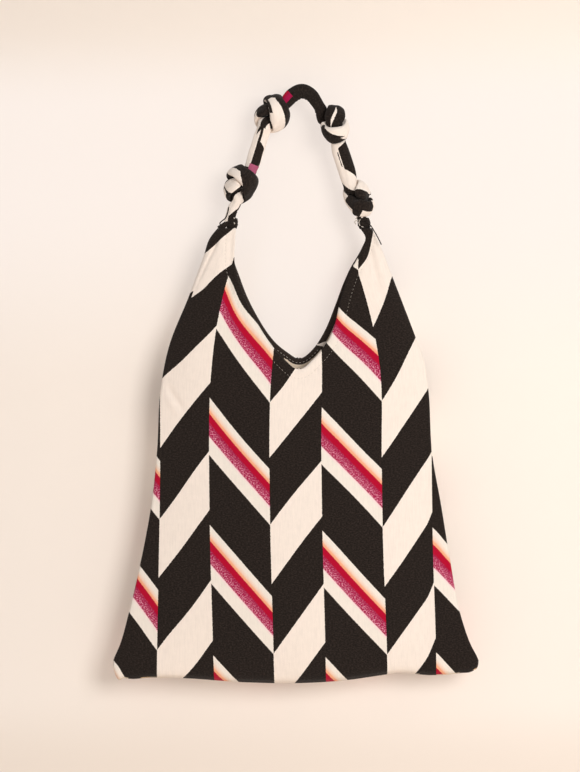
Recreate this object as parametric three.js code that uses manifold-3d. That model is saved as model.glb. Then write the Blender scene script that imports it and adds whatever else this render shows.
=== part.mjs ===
// A cloth tote bag with a knotted shoulder strap, in the shape it takes when it hangs from the strap.
// Millimetres, +Z up, +X to the right and +Y to the back, as the bag is seen from its front.
// The origin is the underside of the strap at the top of its arch, where the bag hangs.
import * as THREE from "three";
import { mergeVertices } from "three/addons/utils/BufferGeometryUtils.js";
import Module from "manifold-3d";

const { clamp, degToRad, lerp, smoothstep } = THREE.MathUtils;

// Body: drops are measured down from the hang point
const BAG_DROP = 639.5; // to the middle of the bottom seam
const BOTTOM_WIDTH = 400;
const CORNER_RISE = 25; // the rounded bottom corners end this far above the bottom seam
const CORNER_SHARPNESS = 26; // power of the bottom edge's curve: a higher one has tighter corners
const WAIST_WIDTH = 300; // where the sides run upright
const WAIST_DROP = 386.5;
const FLARE_POWER = 1.5; // of the side's curve from the waist out to the corner
const NECK_DROP = 296.5; // to the lowest point of the front's neck edge
const BACK_NECK_RISE = 12; // the back's neck edge is this much higher
const NECK_POWER = 0.42; // of the neck's curve: under 1, so that its bottom is round
const BODY_OFFSET = -7; // the bag hangs a little to the left of its hang point

// Ears: the two upper ends of the body, which taper up to the strap
const EAR_DROP = 142.5;
const EAR_SPREAD = 142; // between the middles of the two ear tops
const EAR_TOP_WIDTH = 12;
const EAR_LEAN = 2.6; // the ear tops sit this far to the right of the body's middle
const GATHER_COUNT = 2; // soft folds across each ear
const GATHER_DEPTH = 2.4;
const GATHER_LENGTH = 95; // the folds fade out this far below the ear top

// Cloth
const CLOTH = 1.2;
const HEM_WIDTH = 10; // turned in along the neck, so the cloth is double there
const CLEARANCE = 0.3; // left between pieces that are sewn together
const FRONT_SWELL = 20; // how far the cloth swells from the plane of the seams
const BACK_SWELL = 12;
const SWELL_POWER = 0.55; // under 1, so that the cloth swells most in the lower third
const EAR_TOP_DEPTH = 4; // how far the neck edge stands from that plane at the ear tops

// Strap: one rolled length of cloth with four overhand knots
const STRAP_THICKNESS = 15;
const ARCH_WIDTH = 20; // between the strap's two sides at the level of the hang point's underside
const ARCH_SAG = 4.5; // the sides have come down this far there
const KNOT_LENGTH = 42; // along the strap
const KNOT_WIDTH = 36;
const KNOT_DEPTH = 34;
const JOIN_DIAMETER = 14; // whipped bundle where an ear is sewn to the strap
const JOIN_HEIGHT = 10;
const JOIN_WRAPS = 3;
const WRAP_RELIEF = 0.8; // how far each wrap stands out

// How finely the surfaces are divided
const HALF_COLUMNS = 12;
const BODY_ROWS = 15;
const EAR_ROWS = 15;
const ROW_CROWDING = 1.6; // the rows crowd towards the neck's lowest point
const COLUMN_CROWDING = 1.5; // the columns crowd towards the side seam
const STRAP_SIDES = 8;
const STRAP_STEP = 5.5;
const KNOT_POINTS = 20;
const JOIN_SIDES = 16;
const MERGE_WITHIN = 1e-4; // points closer than this are one point

// Heights that follow from the sizes above
const BOTTOM_Z = -BAG_DROP;
const CORNER_Z = BOTTOM_Z + CORNER_RISE;
const WAIST_Z = -WAIST_DROP;
const EAR_TOP_Z = -EAR_DROP;
const JOIN_BASE_Z = EAR_TOP_Z + CLEARANCE;
const STRAP_END_Z = JOIN_BASE_Z + JOIN_HEIGHT + CLEARANCE;
const EAR_MIDDLE = EAR_SPREAD / 2;
const JOIN_X = { left: BODY_OFFSET + EAR_LEAN - EAR_MIDDLE, right: BODY_OFFSET + EAR_LEAN + EAR_MIDDLE };

// The knots in order along the strap, from the left ear over the top to the right ear. The lower ones
// are placed from the ear joins and the upper ones from the hang point. travel is the strap's direction
// there, in degrees from straight up, and roll turns the knot about that direction.
const KNOTS = [
  { x: JOIN_X.left + 13, z: STRAP_END_Z + 36, travel: 20, roll: 345 },
  { x: -29, z: -18.5, travel: 42, roll: 325 },
  { x: 34, z: -31, travel: 152, roll: 15 },
  { x: JOIN_X.right - 6, z: STRAP_END_Z + 20, travel: 166, roll: 350 },
];

const wasm = await Module();
wasm.setup();

// A closed geometry as a solid that can be joined to another
function solidOf(geometry) {
  const bare = geometry.index ? geometry.toNonIndexed() : geometry.clone();
  bare.deleteAttribute("normal");
  bare.deleteAttribute("uv");
  const merged = mergeVertices(bare, MERGE_WITHIN);
  const vertProperties = new Float32Array(merged.attributes.position.array);
  const triVerts = new Uint32Array(merged.index.array);
  return new wasm.Manifold(new wasm.Mesh({ numProp: 3, vertProperties, triVerts }));
}

// Several overlapping or touching geometries joined into one
function joined(geometries) {
  const [first, ...rest] = geometries.map(solidOf);
  const { vertProperties, triVerts } = rest.reduce((sum, next) => sum.add(next), first).getMesh();
  const geometry = new THREE.BufferGeometry();
  geometry.setAttribute("position", new THREE.BufferAttribute(vertProperties, 3));
  geometry.setIndex(new THREE.BufferAttribute(triVerts, 1));
  geometry.computeVertexNormals();
  return geometry;
}

// Distance from the body's middle line out to the side seam, at a height
function sideReach(z) {
  const waist = WAIST_WIDTH / 2;
  if (z < WAIST_Z) {
    const share = clamp((WAIST_Z - z) / (WAIST_Z - CORNER_Z), 0, 1);
    return lerp(waist, BOTTOM_WIDTH / 2, share ** FLARE_POWER);
  }
  const share = (z - WAIST_Z) / (EAR_TOP_Z - WAIST_Z);
  return lerp(waist, EAR_MIDDLE + EAR_TOP_WIDTH / 2, share ** 2);
}

// Distance from the middle line out to the neck edge, at a share of the ear's height
function neckReach(share) {
  return (EAR_MIDDLE - EAR_TOP_WIDTH / 2) * share ** NECK_POWER;
}

// The body's middle line leans a little above the waist
function middleAt(z) {
  return BODY_OFFSET + EAR_LEAN * clamp((z - WAIST_Z) / (EAR_TOP_Z - WAIST_Z), 0, 1);
}

// One half of a panel: a grid box whose points are moved onto the cloth. Across it, u runs from the
// middle line or neck edge (0) to the side seam (1). Up it, the rows run from the bottom seam to the
// neck's lowest point, and on to the ear top.
function halfPanel({ side, facing, neckZ, swell }) {
  const rows = BODY_ROWS + EAR_ROWS;
  const geometry = new THREE.BoxGeometry(1, 1, 1, HALF_COLUMNS, 1, rows);
  const points = geometry.attributes.position;
  const earHeight = EAR_TOP_Z - neckZ;
  const neckEdge = [];
  for (let row = 0; row <= EAR_ROWS; row++) {
    const share = (row / EAR_ROWS) ** ROW_CROWDING;
    neckEdge.push(new THREE.Vector2(neckReach(share), neckZ + share * earHeight));
  }
  const here = new THREE.Vector2();
  for (let i = 0; i < points.count; i++) {
    const u = 1 - (0.5 - side * points.getX(i)) ** COLUMN_CROWDING;
    const outer = facing * points.getY(i) > 0;
    const row = Math.round((points.getZ(i) + 0.5) * rows);
    const seamZ = BOTTOM_Z + CORNER_RISE * u ** CORNER_SHARPNESS;
    const edge = neckEdge[Math.max(0, row - BODY_ROWS)];
    const z = lerp(seamZ, edge.y, Math.min(1, row / BODY_ROWS));
    const across = lerp(edge.x, sideReach(z), u);
    const height = (z - seamZ) / (EAR_TOP_Z - seamZ);
    const depth = EAR_TOP_DEPTH * height + swell * Math.sin(Math.PI * height ** SWELL_POWER);
    const fold = smoothstep(z, EAR_TOP_Z - GATHER_LENGTH, EAR_TOP_Z);
    const gather = (GATHER_DEPTH * fold * (1 - Math.cos(2 * Math.PI * GATHER_COUNT * u))) / 2;
    const towardsSeam = lerp(across / sideReach(z), u, Math.max(0, z - neckZ) / earHeight);
    const inner = CLEARANCE / 2 + depth * (1 - towardsSeam ** 2) + gather;
    here.set(across, z);
    const hemmed = Math.min(...neckEdge.map((edge) => edge.distanceTo(here))) < HEM_WIDTH;
    const turned = hemmed ? Math.min(CLOTH, inner - CLEARANCE / 2) : 0;
    const y = facing * (outer ? inner + CLOTH : inner - turned);
    points.setXYZ(i, middleAt(z) + side * across, y, z);
  }
  return geometry;
}

// A whole panel: its two halves joined along the middle line
function panel(shape) {
  return joined([halfPanel({ ...shape, side: -1 }), halfPanel({ ...shape, side: 1 })]);
}

// An overhand knot's route: the strap runs the knot's whole length, turns back through its belly, turns
// again and leaves at the far end, each turn wrapped about the other run. The parameter t is 0 in the
// belly and plus or minus 1 where the strap turns back.
function knotRoute({ x, z, travel, roll }) {
  const leaves = 2.05; // t where the strap leaves the knot
  const tuck = { from: 1.45, to: 2.15 }; // between these t the ends come into line with each other
  const widest = 1.42; // t where the route is furthest from the belly
  const crossing = 1.37; // t where the route crosses the knot's middle plane
  const lift = 0.27; // of the half width, from the knot's middle to the line of its ends
  const halfLength = (KNOT_LENGTH - STRAP_THICKNESS) / 2;
  const halfWidth = (KNOT_WIDTH - STRAP_THICKNESS) / 2;
  const halfDepth = (KNOT_DEPTH - STRAP_THICKNESS) / 2;
  const place = new THREE.Matrix4().makeTranslation(x, 0, z);
  place.multiply(new THREE.Matrix4().makeRotationY(degToRad(travel - 90)));
  place.multiply(new THREE.Matrix4().makeRotationX(degToRad(roll)));
  const route = [];
  for (let k = 0; k <= KNOT_POINTS; k++) {
    const t = leaves * ((2 * k) / KNOT_POINTS - 1);
    const loose = 1 - smoothstep(Math.abs(t), tuck.from, tuck.to);
    const along = (halfLength * (t ** 3 - 3 * t)) / 2;
    const wide = halfWidth * (lift - Math.cos((Math.PI * t) / widest)) * loose;
    const deep = halfDepth * Math.sin((Math.PI * t) / crossing) * loose;
    route.push(new THREE.Vector3(along, deep, wide).applyMatrix4(place));
  }
  return route;
}

// One stretch of a longer curve
class Stretch extends THREE.Curve {
  constructor(whole, from, to) {
    super();
    Object.assign(this, { whole, from, to });
  }
  getPoint(t, target) {
    return this.whole.getPoint(lerp(this.from, this.to, t), target);
  }
}

// The strap, swept in stretches from the middle of one knot to the middle of the next and then joined
function knottedStrap() {
  const [lowLeft, highLeft, highRight, lowRight] = KNOTS.map(knotRoute);
  const archTop = STRAP_THICKNESS / 2;
  const route = [
    new THREE.Vector3(JOIN_X.left, 0, STRAP_END_Z),
    new THREE.Vector3(JOIN_X.left, 0, STRAP_END_Z + STRAP_THICKNESS / 2),
    ...lowLeft,
    ...highLeft,
    new THREE.Vector3(-ARCH_WIDTH / 2, 0, archTop - ARCH_SAG),
    new THREE.Vector3(0, 0, archTop),
    new THREE.Vector3(ARCH_WIDTH / 2, 0, archTop - ARCH_SAG),
    ...highRight,
    ...lowRight,
    new THREE.Vector3(JOIN_X.right, 0, STRAP_END_Z + STRAP_THICKNESS / 10),
    new THREE.Vector3(JOIN_X.right, 0, STRAP_END_Z),
  ];
  const whole = new THREE.CatmullRomCurve3(route, false, "centripetal");
  const last = route.length - 1;
  const middles = [lowLeft, highLeft, highRight, lowRight].map((knot) => {
    return route.indexOf(knot[KNOT_POINTS / 2]);
  });
  const stops = [0, ...middles, last];
  const section = new THREE.Shape().absarc(0, 0, STRAP_THICKNESS / 2, 0, 2 * Math.PI);
  const curveSegments = STRAP_SIDES / 2; // a full circle gets twice as many
  const overlap = 0.3; // of the way from one route point to the next, shared by two stretches
  const stretches = [];
  for (let k = 0; k + 1 < stops.length; k++) {
    const from = Math.max(0, stops[k] - overlap) / last;
    const to = Math.min(last, stops[k + 1] + overlap) / last;
    const extrudePath = new Stretch(whole, from, to);
    const steps = Math.round(extrudePath.getLength() / STRAP_STEP);
    stretches.push(new THREE.ExtrudeGeometry(section, { extrudePath, steps, curveSegments }));
  }
  return joined(stretches);
}

// A bundle of thread wraps about the end of the strap
function strapJoin() {
  const radius = JOIN_DIAMETER / 2;
  const profile = [new THREE.Vector2(0, 0)];
  const points = 4; // on each wrap
  for (let k = 0; k <= JOIN_WRAPS * points; k++) {
    const swell = WRAP_RELIEF * Math.abs(Math.sin((Math.PI * k) / points));
    profile.push(new THREE.Vector2(radius - WRAP_RELIEF + swell, (JOIN_HEIGHT * k) / (JOIN_WRAPS * points)));
  }
  profile.push(new THREE.Vector2(0, JOIN_HEIGHT));
  return new THREE.LatheGeometry(profile, JOIN_SIDES).rotateX(Math.PI / 2);
}

const creamCloth = new THREE.MeshStandardMaterial({ color: 0xf2e2d2, roughness: 0.95, metalness: 0 });
const blackCloth = new THREE.MeshStandardMaterial({ color: 0x2a2320, roughness: 0.95, metalness: 0 });

const bag = new THREE.Group();
function addPiece(name, geometry, material, x = 0, z = 0) {
  const mesh = new THREE.Mesh(geometry, material);
  mesh.name = name;
  mesh.position.set(x, 0, z);
  bag.add(mesh);
}

const front = { facing: -1, neckZ: -NECK_DROP, swell: FRONT_SWELL };
const back = { facing: 1, neckZ: BACK_NECK_RISE - NECK_DROP, swell: BACK_SWELL };
addPiece("front_panel", panel(front), creamCloth);
addPiece("back_panel", panel(back), creamCloth);
addPiece("knotted_strap", knottedStrap(), blackCloth);
addPiece("strap_join_left", strapJoin(), blackCloth, JOIN_X.left, JOIN_BASE_Z);
addPiece("strap_join_right", strapJoin(), blackCloth, JOIN_X.right, JOIN_BASE_Z);

export default bag;
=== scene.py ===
# %% [markdown]
# # A slouchy tote bag with a knotted strap
#
# The bag is two cuts of heavy patterned cotton sewn together round the sides and the base. Each cut runs up
# into two ears, and the ears are gathered and sewn to one rolled strap that is tied in four knots.
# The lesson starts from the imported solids, which fix where everything is, and dresses each of them in cloth.

# %% Load the frame
import math

import bmesh
import bpy
import numpy as np
from mathutils import Matrix, Vector
from mathutils.bvhtree import BVHTree


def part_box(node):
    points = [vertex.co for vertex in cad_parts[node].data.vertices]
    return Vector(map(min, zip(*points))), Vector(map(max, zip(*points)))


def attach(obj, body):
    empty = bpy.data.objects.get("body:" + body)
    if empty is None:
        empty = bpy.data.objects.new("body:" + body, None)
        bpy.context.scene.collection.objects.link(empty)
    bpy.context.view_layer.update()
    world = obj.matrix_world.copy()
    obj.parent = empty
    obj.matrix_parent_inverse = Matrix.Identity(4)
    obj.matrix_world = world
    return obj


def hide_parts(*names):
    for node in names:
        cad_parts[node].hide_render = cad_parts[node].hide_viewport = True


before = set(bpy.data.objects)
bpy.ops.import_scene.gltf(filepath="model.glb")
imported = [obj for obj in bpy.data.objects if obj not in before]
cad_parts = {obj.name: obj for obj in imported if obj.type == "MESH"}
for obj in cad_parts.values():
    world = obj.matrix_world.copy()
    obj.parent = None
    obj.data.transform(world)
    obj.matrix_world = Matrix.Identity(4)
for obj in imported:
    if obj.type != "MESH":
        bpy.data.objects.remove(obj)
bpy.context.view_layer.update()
scene = bpy.context.scene
MM = 0.001

front_low, front_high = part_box("front_panel")
BASE_Z = front_low.z
EAR_TOP_Z = front_high.z
STRAP_END_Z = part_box("knotted_strap")[0].z
BODY_MIDDLE_X = (front_low.x + front_high.x) / 2
BAG_HEIGHT = 646.0
DROP_ZERO_Z = BASE_Z + BAG_HEIGHT * MM
print("base", round(BASE_Z, 4), "ear tops", round(EAR_TOP_Z, 4), "body middle", round(BODY_MIDDLE_X, 4))

# %% [markdown]
# ## Camera
#
# The bag is seen square from the front. A long lens from two metres away keeps the sides of the bag from
# leaning, as a product photographer would do. The camera looks along +Y at the middle of the picture.

# %% Camera
PICTURE_WIDTH = 580
PICTURE_HEIGHT = 772
PIXEL = 1.093 * MM
HANG_PIXEL = (302, 98)
LENS = 90.0
SENSOR = 36.0

picture_middle_x = (PICTURE_WIDTH / 2 - HANG_PIXEL[0]) * PIXEL
picture_middle_z = (HANG_PIXEL[1] - PICTURE_HEIGHT / 2) * PIXEL
camera_distance = LENS / SENSOR * PICTURE_HEIGHT * PIXEL

camera_data = bpy.data.cameras.new("camera")
camera_data.lens = LENS
camera_data.sensor_width = SENSOR
camera = bpy.data.objects.new("camera", camera_data)
camera.location = (picture_middle_x, -camera_distance, picture_middle_z)
camera.rotation_euler = (math.pi / 2, 0, 0)
scene.collection.objects.link(camera)
scene.camera = camera
print("camera stands", round(camera_distance, 3), "m in front")

# %% [markdown]
# ## Colours and small node helpers
#
# Colours are written as they look on screen, and Blender wants them linear, so one function converts them.
# The helpers below add a node, or a chain of arithmetic nodes, in one line each. The patterns on this bag are
# made of such arithmetic, because it gives crisp woven edges at any distance.

# %% Colour and node helpers
def screen_colour(red, green, blue):
    """A colour as seen on screen, 0 to 255, as linear values with alpha."""
    shares = [channel / 255 for channel in (red, green, blue)]
    return tuple(s / 12.92 if s <= 0.04045 else ((s + 0.055) / 1.055) ** 2.4 for s in shares) + (1.0,)


def plug(tree, socket, value):
    """Links a socket to the value, or sets it where the value is plain."""
    if isinstance(value, bpy.types.NodeSocket):
        tree.links.new(value, socket)
    else:
        socket.default_value = value


def add_node(tree, kind, inputs=None, **settings):
    """A new node with its settings and its named inputs."""
    made = tree.nodes.new(kind)
    for name, value in settings.items():
        setattr(made, name, value)
    for name, value in (inputs or {}).items():
        plug(tree, made.inputs[name], value)
    return made


def reckon(tree, operation, *values):
    """One arithmetic node, and its result."""
    made = add_node(tree, "ShaderNodeMath", operation=operation)
    for socket, value in zip(made.inputs, values):
        plug(tree, socket, value)
    return made.outputs[0]


def mix_colour(tree, share, first, second):
    """The two colours mixed by the share."""
    made = add_node(tree, "ShaderNodeMix", data_type="RGBA")
    plug(tree, made.inputs[0], share)
    plug(tree, made.inputs[6], first)
    plug(tree, made.inputs[7], second)
    return made.outputs[2]


def mix_shaders(tree, share, first, second):
    """The two shaders mixed by the share."""
    made = add_node(tree, "ShaderNodeMixShader")
    for socket, value in zip(made.inputs, (share, first, second)):
        plug(tree, socket, value)
    return made.outputs[0]


def share_between(tree, value, start, end, **settings):
    """0 where the value is at the start and 1 where it is at the end."""
    ends = {"Value": value, "From Min": start, "From Max": end}
    return add_node(tree, "ShaderNodeMapRange", ends, **settings).outputs[0]


def new_finish(name, roughness):
    """A new material, its node tree and its shader, with the roughness set."""
    finish = bpy.data.materials.new(name)
    finish.use_nodes = True
    shader = finish.node_tree.nodes["Principled BSDF"]
    shader.inputs["Roughness"].default_value = roughness
    return finish, finish.node_tree, shader


BLACK = screen_colour(26, 19, 15)
CREAM = screen_colour(244, 229, 216)
BAND_CREAM = screen_colour(240, 228, 215)
PALE_PEACH = screen_colour(240, 206, 182)
PEACH = screen_colour(246, 170, 130)
CRIMSON = screen_colour(179, 0, 44)
MAGENTA = screen_colour(162, 14, 66)
PINK_FLECK = screen_colour(226, 150, 172)
PALE_PINK = screen_colour(248, 214, 212)
print("colours ready, cream is", [round(c, 3) for c in CREAM[:3]])

# %% [markdown]
# ## Stage and light
#
# A pale backdrop stands close behind the bag and a pale floor lies below it. The backdrop is there for the
# front view, so it lets a camera behind it look through, and it neither shades nor tints the bag. Its upper
# part and the part inside the strap's loop carry painted light: they glow a little, though no lamp is there,
# so the strap throws only a faint shadow there. Towards its bottom and its top the backdrop carries painted
# shade: it is painted darker there.
# A large soft lamp to the right and above gives the soft shadow on the left, and the even world light keeps
# the colours about as they are written.

# %% Backdrop and floor
BACKDROP_Y = 0.033
BACKDROP_TILT = math.radians(1.2)
BACKDROP_TURN = math.radians(-1.4)
BACKDROP_SIZE = 3.0
FLOOR_Z = -0.80
FLOOR_SIZE = 4.0
STAGE_ROUGHNESS = 0.95
STAGE_COLOUR = screen_colour(248, 236, 225)
SKY_COLOUR = screen_colour(250, 238, 228)
PAINTED_GLOW_COLOUR = screen_colour(255, 244, 237)
PAINTED_GLOW_SHARE = 0.66
PAINTED_SHADE_COLOUR = screen_colour(240, 226, 213)
# Each pair goes from none to full, in metres: the height of the painted glow, of its upper end and of the
# painted glow inside the strap's loop, the distance of that one from the middle, and the heights of the
# parts that are painted darker as painted shade.
PAINTED_GLOW_Z = (-0.34, -0.10)
PAINTED_GLOW_END_Z = (0.09, -0.01)
LOOP_Z = (-0.36, -0.25)
LOOP_X = (0.11, 0.03)
PAINTED_SHADE_BELOW_Z = (-0.655, -0.745)
PAINTED_SHADE_ABOVE_Z = (-0.02, 0.16)


def mesh_object(name, bm):
    """The bmesh as an object of the scene."""
    mesh = bpy.data.meshes.new(name)
    bm.to_mesh(mesh)
    bm.free()
    made = bpy.data.objects.new(name, mesh)
    scene.collection.objects.link(made)
    return made


def stage_sheet(name, size, place, finish):
    """One flat square of the stage, moved to its place."""
    bm = bmesh.new()
    bmesh.ops.create_grid(bm, x_segments=2, y_segments=2, size=size)
    bmesh.ops.transform(bm, matrix=place, verts=bm.verts)
    sheet = mesh_object(name, bm)
    sheet.data.materials.append(finish)
    return sheet


backdrop_finish, tree, shader = new_finish("pale_backdrop", STAGE_ROUGHNESS)
shader.inputs["Specular IOR Level"].default_value = 0.0
place = add_node(tree, "ShaderNodeTexCoord")
spot = add_node(tree, "ShaderNodeSeparateXYZ", {"Vector": place.outputs["Object"]})
height = spot.outputs[2]
aside = reckon(tree, "ABSOLUTE", spot.outputs[0])


def soft_share(value, start, end):
    """0 to 1 with a soft slope, between two heights of the backdrop or two distances from its middle."""
    return share_between(tree, value, start, end, interpolation_type="SMOOTHSTEP")


# Painted shade: the backdrop is painted darker towards its bottom and its top.
painted_shade_share = reckon(tree, "ADD", soft_share(height, *PAINTED_SHADE_BELOW_Z), soft_share(height, *PAINTED_SHADE_ABOVE_Z))
plug(tree, shader.inputs["Base Color"], mix_colour(tree, painted_shade_share, STAGE_COLOUR, PAINTED_SHADE_COLOUR))
# Painted light: the backdrop's upper part and the part inside the strap's loop glow, though no lamp is there.
painted_glow_in_loop = reckon(tree, "MULTIPLY", soft_share(height, *LOOP_Z), soft_share(aside, *LOOP_X))
painted_glow_share = reckon(tree, "MAXIMUM", soft_share(height, *PAINTED_GLOW_Z), painted_glow_in_loop)
painted_glow_share = reckon(tree, "MULTIPLY", painted_glow_share, soft_share(height, *PAINTED_GLOW_END_Z))
painted_glow_share = reckon(tree, "MULTIPLY", painted_glow_share, PAINTED_GLOW_SHARE)
painted_glow = add_node(tree, "ShaderNodeEmission", {"Color": PAINTED_GLOW_COLOUR, "Strength": 1.0})
with_painted_glow = mix_shaders(tree, painted_glow_share, shader.outputs[0], painted_glow.outputs[0])
see_through = add_node(tree, "ShaderNodeBsdfTransparent")
behind = add_node(tree, "ShaderNodeNewGeometry")
one_way = mix_shaders(tree, behind.outputs["Backfacing"], with_painted_glow, see_through.outputs[0])
plug(tree, tree.nodes["Material Output"].inputs["Surface"], one_way)

floor_finish, tree, shader = new_finish("pale_floor", STAGE_ROUGHNESS)
shader.inputs["Base Color"].default_value = STAGE_COLOUR
shader.inputs["Specular IOR Level"].default_value = 0.0

upright = Matrix.Rotation(math.pi / 2 + BACKDROP_TILT, 4, "X")
turned = Matrix.Rotation(BACKDROP_TURN, 4, "Z") @ upright
backdrop_place = Matrix.Translation((0, BACKDROP_Y, 0)) @ turned
backdrop = stage_sheet("backdrop", BACKDROP_SIZE, backdrop_place, backdrop_finish)
backdrop.visible_diffuse = False
backdrop.visible_glossy = False
backdrop.visible_shadow = False
stage_sheet("floor", FLOOR_SIZE, Matrix.Translation((0, 0, FLOOR_Z)), floor_finish)
print("backdrop faces", [round(c, 2) for c in backdrop.data.polygons[0].normal])

# %% Lamps and world
BAG_MIDDLE = Vector((0.0, 0.0, -0.35))
# Place and size in metres, and power in watts.
LAMPS = {"key_lamp": ((0.95, -2.02, 0.14), 0.95, 26.0), "back_lamp": ((0.8, 2.2, 0.6), 1.5, 40)}
WORLD_STRENGTH = 0.55
SKY_WHITE = (0.99, 0.995, 1.0, 1.0)

for name, (lamp_place, size, power) in LAMPS.items():
    lamp_data = bpy.data.lights.new(name, "AREA")
    lamp_data.size = size
    lamp_data.energy = power
    lamp = bpy.data.objects.new(name, lamp_data)
    lamp.location = lamp_place
    lamp.rotation_euler = (BAG_MIDDLE - lamp.location).to_track_quat("-Z", "Y").to_euler()
    scene.collection.objects.link(lamp)

world = bpy.data.worlds.new("studio")
scene.world = world
world.use_nodes = True
tree = world.node_tree
sky = tree.nodes["Background"]
sky.inputs["Color"].default_value = SKY_WHITE
sky.inputs["Strength"].default_value = WORLD_STRENGTH
seen_sky = add_node(tree, "ShaderNodeBackground", {"Color": SKY_COLOUR, "Strength": 1.0})
rays = add_node(tree, "ShaderNodeLightPath")
mirrored = reckon(tree, "MAXIMUM", rays.outputs["Is Glossy Ray"], rays.outputs["Is Transmission Ray"])
seen = reckon(tree, "MAXIMUM", rays.outputs["Is Camera Ray"], mirrored)
sky_choice = mix_shaders(tree, seen, sky.outputs[0], seen_sky.outputs[0])
plug(tree, tree.nodes["World Output"].inputs["Surface"], sky_choice)
scene.view_settings.view_transform = "Standard"

# %% [markdown]
# ## The cloth's pattern
#
# The cotton is woven in upright columns of two kinds, turn and turn about. In the narrow ones cream and black
# slant up to the right. In the wide ones black fills most of the column, and a cream band that slants down to
# the right carries peach, crimson and magenta stripes. Painting this on an image would blur up close, so the
# columns, the slant and the stripes come from arithmetic on the cloth's own UV map, which is in metres of
# fabric. Fine noise moves each edge by a thread or two, as a loom does.

# %% Sizes of the woven pattern
COLUMN_START = -155.8 * MM
NARROW_COLUMN = 56.3 * MM
WIDE_COLUMN = 65.6 * MM
PATTERN_DROP = 139.9 * MM
NARROW_RISE = 77.5 * MM
NARROW_FROM = 472.0 * MM
NARROW_CREAM = 0.46
WIDE_FALL = 74.3 * MM
WIDE_FROM = 475.5 * MM
# Place within one repeat of the wide column, as a share of it, and the colour at that place.
BAND_STOPS = [
    (0.0, BAND_CREAM), (0.042, BAND_CREAM), (0.082, PALE_PEACH), (0.101, PEACH), (0.118, PEACH),
    (0.124, CRIMSON), (0.188, CRIMSON), (0.194, MAGENTA), (0.297, MAGENTA), (0.305, PALE_PINK),
    (0.330, BAND_CREAM), (0.446, BAND_CREAM), (0.450, BLACK), (0.999, BLACK), (1.0, BAND_CREAM),
]
FLECKS_GROW = (0.184, 0.258)
FLECKS_END = 0.301
THREAD = 1.1 * MM
EDGE_WOBBLE = 0.9 * MM
WOBBLE_SCALE = 700.0


def thread_heights(tree, along, across):
    """The over and under of warp and weft, 0 to 1, from two coordinates in metres."""
    warp = reckon(tree, "SINE", reckon(tree, "MULTIPLY", along, 2 * math.pi / THREAD))
    weft = reckon(tree, "SINE", reckon(tree, "MULTIPLY", across, 2 * math.pi / THREAD))
    crossed = reckon(tree, "MULTIPLY", warp, weft)
    return reckon(tree, "MULTIPLY_ADD", crossed, 0.5, 0.5)


print("one repeat of the pattern is", round(NARROW_COLUMN + WIDE_COLUMN, 4), "by", PATTERN_DROP, "m")

# %% Nodes of the woven pattern
def fabric_place(tree):
    """The two fabric coordinates with a thread's wobble, and the plain ones."""
    place = add_node(tree, "ShaderNodeUVMap", uv_map="fabric")
    split = add_node(tree, "ShaderNodeSeparateXYZ", {"Vector": place.outputs[0]})
    across, up = split.outputs[0], split.outputs[1]
    fine = {"Vector": place.outputs[0], "Scale": WOBBLE_SCALE, "Detail": 1.0}
    wobble = add_node(tree, "ShaderNodeTexNoise", fine)
    parts = add_node(tree, "ShaderNodeSeparateColor", {"Color": wobble.outputs["Color"]})
    shift_x = reckon(tree, "MULTIPLY_ADD", parts.outputs[0], EDGE_WOBBLE, -EDGE_WOBBLE / 2)
    shift_z = reckon(tree, "MULTIPLY_ADD", parts.outputs[1], EDGE_WOBBLE, -EDGE_WOBBLE / 2)
    return reckon(tree, "ADD", across, shift_x), reckon(tree, "ADD", up, shift_z), across, up


def shares_past(tree, value, start, span):
    """How many spans the value is past the start."""
    return reckon(tree, "DIVIDE", reckon(tree, "SUBTRACT", value, start), span)


def striped_columns(tree, across, up, narrow_colours, band_stops):
    """The pattern's colour, and the share of it that is flecked magenta."""
    repeat = NARROW_COLUMN + WIDE_COLUMN
    narrow_share = NARROW_COLUMN / repeat
    drop = reckon(tree, "MULTIPLY", up, -1.0)
    within = reckon(tree, "FRACT", shares_past(tree, across, COLUMN_START, repeat))
    is_wide = reckon(tree, "GREATER_THAN", within, narrow_share)
    along_narrow = reckon(tree, "DIVIDE", within, narrow_share)
    along_wide = shares_past(tree, within, narrow_share, 1 - narrow_share)
    risen = reckon(tree, "MULTIPLY_ADD", along_narrow, NARROW_RISE, drop)
    fallen = reckon(tree, "MULTIPLY_ADD", along_wide, -WIDE_FALL, drop)
    narrow_phase = reckon(tree, "FRACT", shares_past(tree, risen, NARROW_FROM, PATTERN_DROP))
    wide_phase = reckon(tree, "FRACT", shares_past(tree, fallen, WIDE_FROM, PATTERN_DROP))

    is_cream = reckon(tree, "LESS_THAN", narrow_phase, NARROW_CREAM)
    narrow_colour = mix_colour(tree, is_cream, *narrow_colours)
    band = add_node(tree, "ShaderNodeValToRGB", {"Fac": wide_phase})
    stops = band.color_ramp.elements
    while len(stops) < len(band_stops):
        stops.new(1.0)
    for stop, (position, colour) in zip(stops, band_stops):
        stop.position = position
        stop.color = colour
    colour = mix_colour(tree, is_wide, narrow_colour, band.outputs["Color"])

    growing = share_between(tree, wide_phase, *FLECKS_GROW)
    before_end = reckon(tree, "LESS_THAN", wide_phase, FLECKS_END)
    flecked = reckon(tree, "MULTIPLY", reckon(tree, "MULTIPLY", growing, before_end), is_wide)
    return colour, flecked


print("pattern nodes ready")

# %% [markdown]
# The colour then gets what real cotton adds: pale flecks in the magenta yarn, slightly uneven dye, streaks
# where a thicker yarn runs through, and the light and dark of the threads. Worn black cotton also shows pale
# fuzz, which is added rather than multiplied, because a share of black would stay black, and which fades out
# on lighter yarns. The same thread heights drive the bump, so colour and relief agree.

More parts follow.
